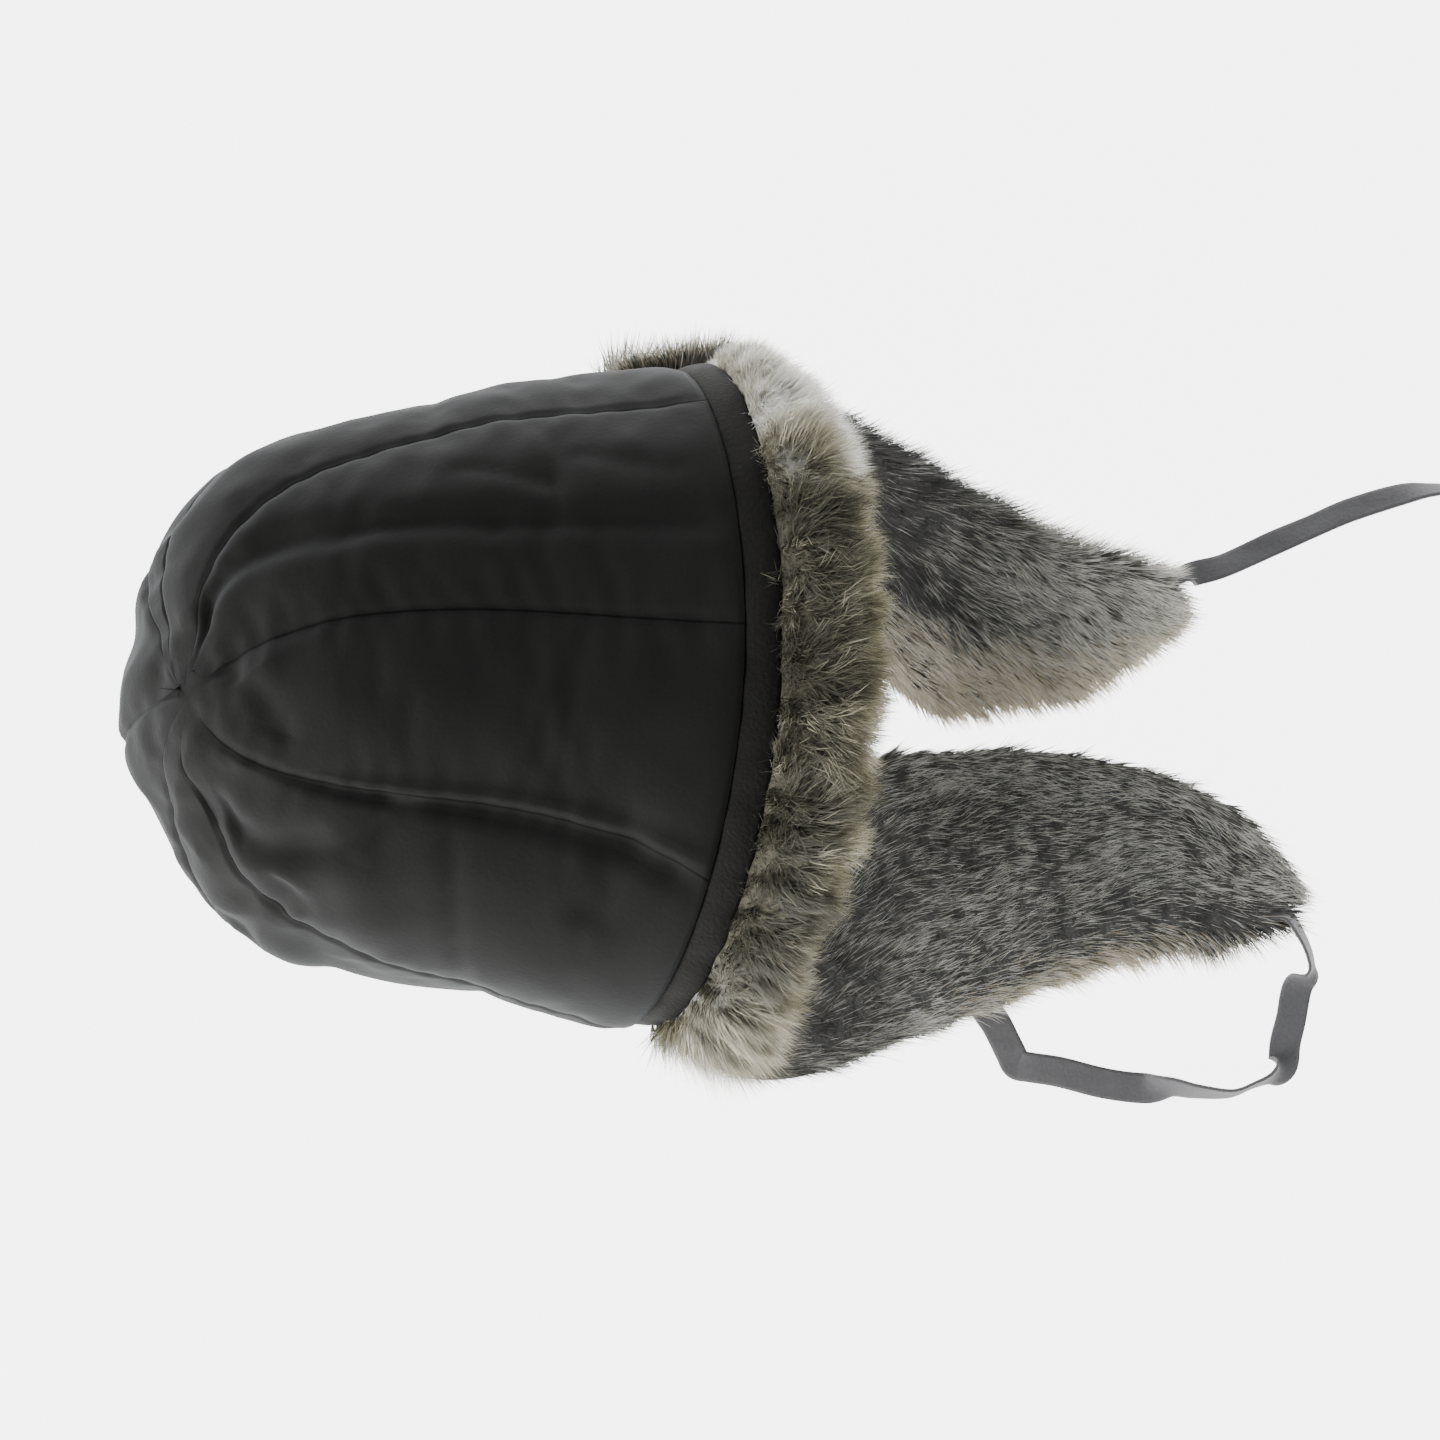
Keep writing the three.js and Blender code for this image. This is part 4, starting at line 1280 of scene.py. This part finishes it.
def front_places(u, v):
    """Angle, x and lift of places on the front flap, from its left end and from the fold."""
    angle = FRONT_ENDS[0] + (FRONT_ENDS[1] - FRONT_ENDS[0]) * u
    corner = FRONT_CORNER * np.abs(2 * u - 1) ** 3
    x = rim_x(angle) + FRONT_AHEAD - FRONT_LENGTH * v * (1 - corner)
    lift = FRONT_FOLD_LIFT + (FRONT_LIFT - FRONT_FOLD_LIFT) * np.minimum(v / FRONT_FOLD_PART, 1)
    return angle, x, lift


def front_surface(u, v):
    angle, x, lift = front_places(u, v)
    return skin_points(x, angle, -lift - FRONT_CLOTH)


def front_fur_surface(u, v):
    """Outside of the front flap's fur, flat where the hat rests on it."""
    angle, x, lift = front_places(u, v)
    pile = np.interp(angle, *zip(*FRONT_PILE)) * np.sqrt(np.clip(4 * v * (FRONT_PILE_END - v), 0, 1))
    pile = pile * np.sqrt(np.clip(FRONT_PILE_SIDES * np.minimum(u, 1 - u), 0, 1))
    points = skin_points(x, angle, -lift - FRONT_CLOTH - FRONT_COAT_GAP - pile)
    points[..., 2] = np.maximum(points[..., 2], FRONT_COAT_REST)
    return points


def make_front_flap(material):
    flap, u, v = new_grid("front_flap_cloth", *FRONT_CLOTH_GRID)
    angle, x, lift = front_places(u, v)
    place_vertices(flap, skin_points(x, angle, -lift - FRONT_CLOTH / 2))
    size = sheet_size(flap, u, v)
    thicken(flap, FRONT_CLOTH * FRONT_CLOTH_SHARE, 0)
    smooth(flap)
    finish_piece(flap, material, "shell_cloth", "front_flap")


def make_front_undercoat(material):
    coat, u, v = new_grid("front_undercoat", *FRONT_COAT_GRID)
    points = front_fur_surface(u, v)
    lift = FRONT_COAT_BUMPS * waves(points, *NOISE["front_coat"]) * rise(points[:, 2], 1, 1)
    place_vertices(coat, points - outwards(front_surface, u, v) * lift[:, None])
    smooth(coat)
    finish_piece(coat, material, "light_fur", "front_flap_fur")


def make_front_hair(material):
    """Hair of the front flap. It stands up round the flap's end beside the crown."""
    spin = np.random.default_rng(FRONT_HAIR["seed"])
    count = FRONT_HAIRS
    places, own, _ = lay_out(count, FRONT_HAIR, spin)
    roots, normals, _, _ = surface_frames(front_fur_surface, places)
    facing = np.sign(np.sum(normals * (roots - HEAD_CENTRE), axis=1, keepdims=True))
    normals = normals * facing
    roots = roots - normals * FRONT_ROOT_DEPTH
    centres = front_fur_surface(own[:, 0], own[:, 1])
    scatter = spin.normal(0, FRONT_SCATTER, (count, 3))
    at_end = rise(places[:, 0], *FRONT_RIGHT_END)[:, None]
    back = FRONT_BACK * (1 - at_end)
    beside = SIDEWAYS * at_end
    ahead = (centres[:, 0] - FRONT_FAN["from"]) / FRONT_FAN["over"]
    fan = np.clip(ahead, FRONT_FAN["least"], 1)[:, None] * FRONT_FAN["lean"] * at_end
    tucked = rise(-centres[:, 0], *TUCKED_BEHIND) * rise(own[:, 0], *TUCKED_SIDE)
    down = tucked[:, None] * TUCKED_LEAN
    starts = normals * FRONT_AT_ROOT["up"] + back + scatter + beside * FRONT_AT_ROOT["sideways"] + down
    tips = normals * FRONT_AT_TIP["up"] * (1 - at_end) + back * FRONT_AT_TIP["back"]
    tips += scatter * FRONT_AT_TIP["scatter"] + beside + fan + down
    longer = 1 + FRONT_LONGER["sideways"] * at_end[:, 0] + FRONT_LONGER["tucked"] * tucked
    lengths = hair_lengths(FRONT_HAIR, np.ones(count), spin) * longer
    share = FRONT_LIGHT["mean"] + FRONT_LIGHT["share"] * waves(centres, *NOISE["front_light"])
    tones = brown_tones(share, FRONT_BEIGE, spin)
    widths = hair_widths(FRONT_HAIR, count, spin)
    hair = hair_mesh("front_hair", roots, unit(starts), unit(tips), normals, lengths, widths, tones)
    finish_piece(hair, material, "light_fur", "front_flap_fur")


def brown_tones(share, kind, spin):
    """Brown fur: mixed dark and light hairs with beige ones between them."""
    drawn = spin.uniform(0, 1, len(share))
    beige = spin.normal(kind["tone"], kind["spread"], len(share))
    return np.where(drawn < kind["share"], beige, agouti(share, CORNER_CLUMPING, spin))


def make_corner_hair(material):
    """Tuft that bulges out at the rim's right side, where the front flap's fur folds round."""
    spin = np.random.default_rng(CORNER_HAIR["seed"])
    count = CORNER_HAIRS
    places, own, leans = lay_out(count, CORNER_HAIR, spin)
    angle, ahead = [low + (high - low) * places[:, k] for k, (low, high) in enumerate(CORNER_SPAN)]
    roots = rim_points(angle, ahead, -CORNER_OUT)
    outward = unit((roots - HEAD_CENTRE) * np.array([0.0, 1.0, 1.0]))
    fan = ((ahead - CORNER_FAN["from"]) / CORNER_FAN["over"])[:, None] * CORNER_FAN["lean"]
    scatter = spin.normal(0, CORNER_SCATTER, (count, 3)) + leans * CORNER_TUFT_LEAN
    starts = unit(SIDEWAYS + outward * CORNER_AT_ROOT["outward"] + fan * CORNER_AT_ROOT["fan"] + scatter)
    ends_at = unit(SIDEWAYS + fan * CORNER_AT_TIP["fan"] + scatter * CORNER_AT_TIP["scatter"])
    lengths = hair_lengths(CORNER_HAIR, np.ones(count), spin)
    share = CORNER_LIGHT["mean"] + CORNER_LIGHT["share"] * rise(ahead, *CORNER_LIGHT["ahead"])
    tones = brown_tones(share, CORNER_BEIGE, spin)
    widths = hair_widths(CORNER_HAIR, count, spin)
    hair = hair_mesh("corner_hair", roots, starts, ends_at, outward, lengths, widths, tones)
    finish_piece(hair, material, "light_fur", "front_flap_fur")


# Ear flaps


def flap_surface(flap):
    """Outer face of an ear flap: u from the rim to its tip, v from its outer to its inner edge."""
    outer, inner = [
        np.array([section[edge] for section in flap["sections"]], dtype=float)
        for edge in ("outer", "inner")
    ]

    def surface(u, v):
        u, v = np.broadcast_arrays(u, v)
        part = v[..., None]
        angle = flap["base"][0] + (flap["base"][1] - flap["base"][0]) * v
        knots = [rim_points(angle, FLAP_BASE_AHEAD, FLAP_BASE_INSET)]
        for near, far in zip(outer, inner):
            point = near + (far - near) * part
            point[..., 2] = far[2] + (near[2] - far[2]) * (1 - v) ** FLAP_SAG
            knots.append(point)
        points = smooth_curve(u, np.stack(knots), np.arange(len(u)))
        points[..., 2] = np.maximum(points[..., 2], 0.0)
        return points

    return surface


def make_flap_cloth(name, node, flap, material):
    cloth, u, v = new_grid(name, *FLAP_CLOTH_GRID)
    points, normals, _, _ = surface_frames(flap_surface(flap), np.stack([u, v], -1))
    place_vertices(cloth, points + normals * flap["side"] * (FLAP_CLOTH / 2))
    size = sheet_size(cloth, u, v)
    thicken(cloth, FLAP_CLOTH * FLAP_CLOTH_SHARE, 0)
    smooth(cloth)
    finish_piece(cloth, material, "shell_cloth", node)


def make_flap_undercoat(name, node, flap, material):
    coat, u, v = new_grid(name, *FLAP_COAT_GRID)
    points, normals, _, _ = surface_frames(flap_surface(flap), np.stack([u, v], -1))
    inside = np.minimum(np.minimum(v, 1 - v), (1 - u) * FLAP_COAT["tip"])
    edge = np.clip(FLAP_COAT["steepness"] * inside, 0, 1)
    pile = FLAP_COAT["pile"] + waves(points, *NOISE["flap_coat_coarse"])
    pile += FLAP_COAT["fine"] * waves(points, *NOISE["flap_coat_fine"])
    lift = FLAP_CLOTH + FLAP_COAT["gap"] + np.sqrt(edge) * pile
    place_vertices(coat, points + normals * flap["side"] * lift[:, None])
    smooth(coat)
    finish_piece(coat, material, "grey_fur", node)


def make_flap_hair(name, node, flap, ends, count, flow, tone_of, seed, material):
    """Hair of one stretch of an ear flap, which lies over in the flow's direction."""
    spin = np.random.default_rng(seed)
    surface = flap_surface(flap)
    places, own, leans = lay_out(count, FLAP_HAIR, spin)
    for spots in (places, own):
        if ends[1] == 1:
            spots[:, 0] = np.interp(spots[:, 0], *TIP_THINNING)
        spots[:, 0] = ends[0] + (ends[1] - ends[0]) * spots[:, 0]
        spots[:, 1] = np.interp(spots[:, 1], *EDGE_CROWDING)
    u, v = places[:, 0], places[:, 1]
    bare_roots, normals, along_u, along_v = surface_frames(surface, places)
    normals = normals * flap["side"]
    centres = surface(own[:, 0], own[:, 1])
    at_outer = np.clip(1 - v / flap["outer_fringe"], 0, 1)[:, None]
    at_inner = np.clip(1 - (1 - v) / flap["inner_fringe"], 0, 1)[:, None]
    roots = bare_roots + normals * (FLAP_CLOTH + FLAP_ROOT_LIFT * (1 - at_outer))
    at_tip = np.clip(1 - FLAP_TIP_STEEPNESS * (1 - u), 0, 1)[:, None]
    at_tip = at_tip * spin.uniform(*FLAP_TIP_LEANS, (count, 1))
    at_base = np.clip(FLAP_BASE_REACH - u / FLAP_BASE_PART, 0, 1)[:, None]
    at_base = at_base * np.clip(at_outer * FLAP_BASE_OUTER, 0, 1)
    base_lean = np.array([FLAP_BASE_LEAN["back"], -flap["side"], FLAP_BASE_LEAN["up"]])
    over_edge = along_v * (at_inner * flap["inner_lean"] - at_outer * flap["outer_lean"])
    over_edge = over_edge + along_u * at_tip + at_outer * FLAP_DROOP
    scatter = spin.normal(0, FLAP_SCATTER, (count, 3)) + leans * FLAP_TUFT_LEAN
    lean = flow(u, v, along_u) + flap_swirl(centres, seed)
    gather = (centres - bare_roots) * FLAP_GATHER
    starts = normals * FLAP_AT_ROOT["up"] + lean * FLAP_AT_ROOT["flow"] + scatter
    starts = unit(starts + over_edge * FLAP_AT_ROOT["edge"] + at_base * base_lean)
    tips = normals * FLAP_AT_TIP["up"] + lean * FLAP_AT_TIP["flow"] + over_edge * FLAP_AT_TIP["edge"]
    tips = tips * (1 - at_base) + base_lean * at_base
    ends_at = unit(tips + scatter * FLAP_AT_TIP["scatter"] + gather)
    swell = 1 + FLAP_SWELL["share"] * waves(centres, FLAP_SWELL["pitch"], seed + 2)
    lengths = hair_lengths(FLAP_HAIR, swell, spin) * (1 - INNER_TRIM * at_inner[:, 0])
    widths = hair_widths(FLAP_HAIR, count, spin)
    tones = tone_of(centres, own, spin)
    light = tones > LIGHT_FROM
    lengths *= np.where(light, LIGHT_LENGTH, DARK_LENGTH)
    widths *= np.where(light, flap["light_width"], 1.0)
    hair = hair_mesh(name, roots, starts, ends_at, normals, lengths, widths, tones)
    finish_piece(hair, material, "grey_fur", node)


def flap_swirl(centres, seed):
    """Level leans of an ear flap's tufts, in wide and in narrow swirls."""
    swirl = 0.0
    for row in FLAP_SWIRLS:
        parts = [waves(centres, row["pitch"], seed + row["seed"] + k) for k in range(3)]
        swirl = swirl + np.stack(parts, axis=-1) * row["lean"]
    swirl[:, 2] = 0
    return swirl


def heading(degrees):
    """Level direction, from +X towards +Y."""
    turn = np.radians(degrees)
    return np.stack([np.cos(turn), np.sin(turn), np.zeros_like(turn)], axis=-1)


def turned(directions, degrees):
    """Turns directions about the upright by angles in degrees."""
    turn = np.radians(degrees)
    x, y, z = np.moveaxis(directions, -1, 0)
    level = [x * np.cos(turn) - y * np.sin(turn), x * np.sin(turn) + y * np.cos(turn)]
    return np.stack([*level, z], axis=-1)


def right_flow(u, v, along_u):
    """Hair heads towards the inner edge, and along the outer one."""
    turn = RIGHT_FLOW["heading"] + RIGHT_FLOW["across"] * (v - 0.5) + RIGHT_FLOW["along"] * (u - 0.5)
    return heading(turn + RIGHT_FLOW["outer"] * np.exp(-v / RIGHT_FLOW["outer_part"]))


def left_flow(u, v, along_u):
    """Hair runs along the flap, and turns out over the outer edge near the tip."""
    far = rise(u, *LEFT_FAR)
    outer = np.clip(1 - v / LEFT_OUTER_PART, 0, 1)
    turn = LEFT_FLOW["turn"] + (LEFT_FLOW["outer"] + LEFT_FLOW["outer_far"] * far) * outer
    turn += LEFT_FLOW["far"] * far * v + LEFT_FLOW["inner"] * rise(v, *LEFT_INNER)
    return turned(along_u, turn)


def right_tones(points, own, spin):
    """Grey fur, lighter towards the flap's tip and beige along its inner edge."""
    share = np.interp(own[:, 0], *zip(*RIGHT_LIGHT))
    share += RIGHT_PATCHES["coarse"] * waves(points, *NOISE["right_coarse"])
    share += RIGHT_PATCHES["fine"] * waves(points, *NOISE["right_fine"])
    tones = agouti(share, RIGHT_CLUMPING, spin)
    beige_share = rise(own[:, 1], *RIGHT_BEIGE["inner"]) * np.clip(RIGHT_BEIGE["until"] - own[:, 0], 0, 1)
    return with_beige(RIGHT_BEIGE, beige_share, tones, spin)


def left_tones(points, own, spin):
    """Grey fur with painted shadow along its outer edge near the tip, where fewer hairs are light, and
    beige underfur below that.
    """
    share = np.interp(own[:, 0], *zip(*LEFT_LIGHT))
    share += LEFT_INNER_LIGHT["share"] * rise(own[:, 1], *LEFT_INNER_LIGHT["inner"])
    share += LEFT_PATCHES["coarse"] * waves(points, *NOISE["left_coarse"])
    fine = LEFT_PATCHES["fine"] + LEFT_PATCHES["fine_far"] * own[:, 0]
    share += fine * waves(points, *NOISE["left_fine"])
    # Painted shadow: fewer light hairs in a band near the outer edge, on the far half of the flap
    shadow_band = bell(own[:, 1] - LEFT_PAINTED_SHADOW_BAND["at"], LEFT_PAINTED_SHADOW_BAND["width"])
    share -= LEFT_PAINTED_SHADOW_BAND["share"] * rise(own[:, 0], *LEFT_PAINTED_SHADOW_BAND["far"]) * shadow_band
    tones = agouti(share, LEFT_CLUMPING, spin, LEFT_LIGHT_TONE)
    edge = bell(own[:, 0] - LEFT_BEIGE["at"], LEFT_BEIGE["width"])
    edge *= np.clip(1 - own[:, 1] / LEFT_BEIGE["outer"], 0, 1)
    return with_beige(LEFT_BEIGE, edge, tones, spin)


def with_beige(kind, where, tones, spin):
    """Turns part of the hairs beige where the piece has beige underfur."""
    drawn = spin.uniform(0, 1, len(tones))
    beige = spin.normal(kind["tone"], kind["spread"], len(tones))
    return np.where(drawn < kind["share"] * where, beige, tones)


# Ties


def tie_columns(stations):
    """A tie's centre line on the table, and its twist out of flat in the third column."""
    knots = np.array([(row["x"], row["y"], row["twist"]) for row in stations], dtype=float)
    return smooth_curve(np.linspace(0, 1, TIE_STEPS + 1), knots)


def make_tie(name, node, stations, width, material):
    columns = tie_columns(stations)
    twist = np.radians(np.clip(columns[:, 2], 0, TIE_MOST_TWIST))
    centres = columns.copy()
    centres[:, 2] = TIE_REST + np.sin(twist) * width / 2
    forwards = unit(np.gradient(centres, axis=0))
    flat = unit(np.cross(forwards, np.array([0.0, 0.0, 1.0])))
    up = unit(np.cross(flat, forwards))
    sideways = flat * np.cos(twist)[:, None] + up * np.sin(twist)[:, None]
    tie, across, along = new_grid(name, TIE_COLUMNS, TIE_STEPS)
    row = np.round(along * TIE_STEPS).astype(int)
    points = centres[row] + sideways[row] * ((across - 0.5) * width)[:, None]
    points[:, 2] += TIE_RIPPLE * waves(points, *NOISE["tie"])
    place_vertices(tie, points)
    thicken(tie, TIE_THICKNESS, 0)
    rested = vertices_of(tie) / MM
    rested[:, 2] = np.maximum(rested[:, 2], TIE_LOWEST)
    place_vertices(tie, rested)
    smooth(tie)
    finish_piece(tie, material, "tie_cloth", node)
    path = centres * MM


# Stage


def make_stage():
    """White table, with a pale wall far round it."""
    deselect_all()
    bpy.ops.mesh.primitive_circle_add(radius=STAGE_RADIUS, vertices=STAGE_SIDES, fill_type="NGON")
    floor = named("table")
    floor.data.materials.append(glowing_finish("white_table", TABLE_GLOW))
    bpy.ops.mesh.primitive_cylinder_add(
        radius=STAGE_RADIUS, depth=WALL_HEIGHT, vertices=STAGE_SIDES, end_fill_type="NOTHING",
        location=(0, 0, WALL_HEIGHT / 2),
    )
    wall = named("backdrop")
    wall.data.materials.append(glowing_finish("pale_wall", WALL_GLOW))


def glowing_finish(name, glow):
    finish = Finish(name, roughness=0.9, base_color=STAGE_GREY)
    finish.put("Emission Color", (1.0, 1.0, 1.0, 1.0))
    finish.put("Emission Strength", glow)
    return finish.material


def make_lights():
    world = bpy.context.scene.world or bpy.data.worlds.new("surroundings")
    bpy.context.scene.world = world
    world.use_nodes = True
    background = world.node_tree.nodes["Background"]
    background.inputs["Color"].default_value = WORLD_COLOUR
    background.inputs["Strength"].default_value = WORLD_STRENGTH
    for lamp in LAMPS:
        add_soft_light(lamp["place"], lamp["size"], lamp["power"])


def add_soft_light(place, size, power):
    deselect_all()
    aim = Vector(LAMP_AIM) - Vector(place)
    turn = aim.to_track_quat("-Z", "Y").to_euler()
    bpy.ops.object.light_add(type="AREA", location=place, rotation=turn)
    light = bpy.context.object
    light.data.size = size
    light.data.energy = power


def make_camera():
    deselect_all()
    bpy.ops.object.camera_add(location=CAMERA_PLACE, rotation=(0, 0, 0))
    camera = bpy.context.object
    camera.data.sensor_width = CAMERA_SENSOR
    camera.data.lens = CAMERA_LENS
    bpy.context.scene.camera = camera


def make_all():
    seam_shaded_nylon = nylon_finish("seam_shaded_nylon", True)
    nylon = nylon_finish("flap_nylon", False)
    binding = binding_finish()
    ties = tie_finish()
    nape_hair = hair_finish("nape_hair", NAPE_COLOURS)
    flap_hair = hair_finish("flap_hair", FLAP_COLOURS)
    light_coat = undercoat_finish("light_undercoat", LIGHT_COAT_COLOURS)
    grey_coat = undercoat_finish("grey_undercoat", GREY_COAT_COLOURS)
    make_camera()
    for side, stations, width in (
        ("right", RIGHT_TIE, RIGHT_TIE_WIDTH),
        ("left", LEFT_TIE, LEFT_TIE_WIDTH),
    ):
        make_tie(f"{side}_tie_strip", f"{side}_tie", stations, width, ties)
    make_crown(seam_shaded_nylon)
    make_binding(binding)
    make_nape_undercoat(light_coat)
    for side, ends, seed in (("right", (0.0, 0.5), 81), ("left", (0.5, 1.0), 82)):
        make_nape_hair(f"nape_hair_{side}", ends, seed, nape_hair)
    make_front_flap(nylon)
    make_front_undercoat(light_coat)
    make_front_hair(flap_hair)
    make_corner_hair(flap_hair)
    flaps = {"right": RIGHT_FLAP, "left": LEFT_FLAP}
    for side, flap in flaps.items():
        make_flap_cloth(f"{side}_flap_cloth", f"{side}_flap", flap, nylon)
    for side, flap in flaps.items():
        make_flap_undercoat(f"{side}_undercoat", f"{side}_flap_fur", flap, grey_coat)
    make_flap_hair(
        "right_hair", "right_flap_fur", RIGHT_FLAP, (0, 1), RIGHT_HAIRS,
        right_flow, right_tones, 91, flap_hair,
    )
    make_flap_hair(
        "left_hair_near", "left_flap_fur", LEFT_FLAP, (0, 0.5), LEFT_NEAR_HAIRS,
        left_flow, left_tones, 92, flap_hair,
    )
    make_flap_hair(
        "left_hair_far", "left_flap_fur", LEFT_FLAP, (0.5, 1), LEFT_FAR_HAIRS,
        left_flow, left_tones, 93, flap_hair,
    )
    make_stage()
    make_lights()


make_all()
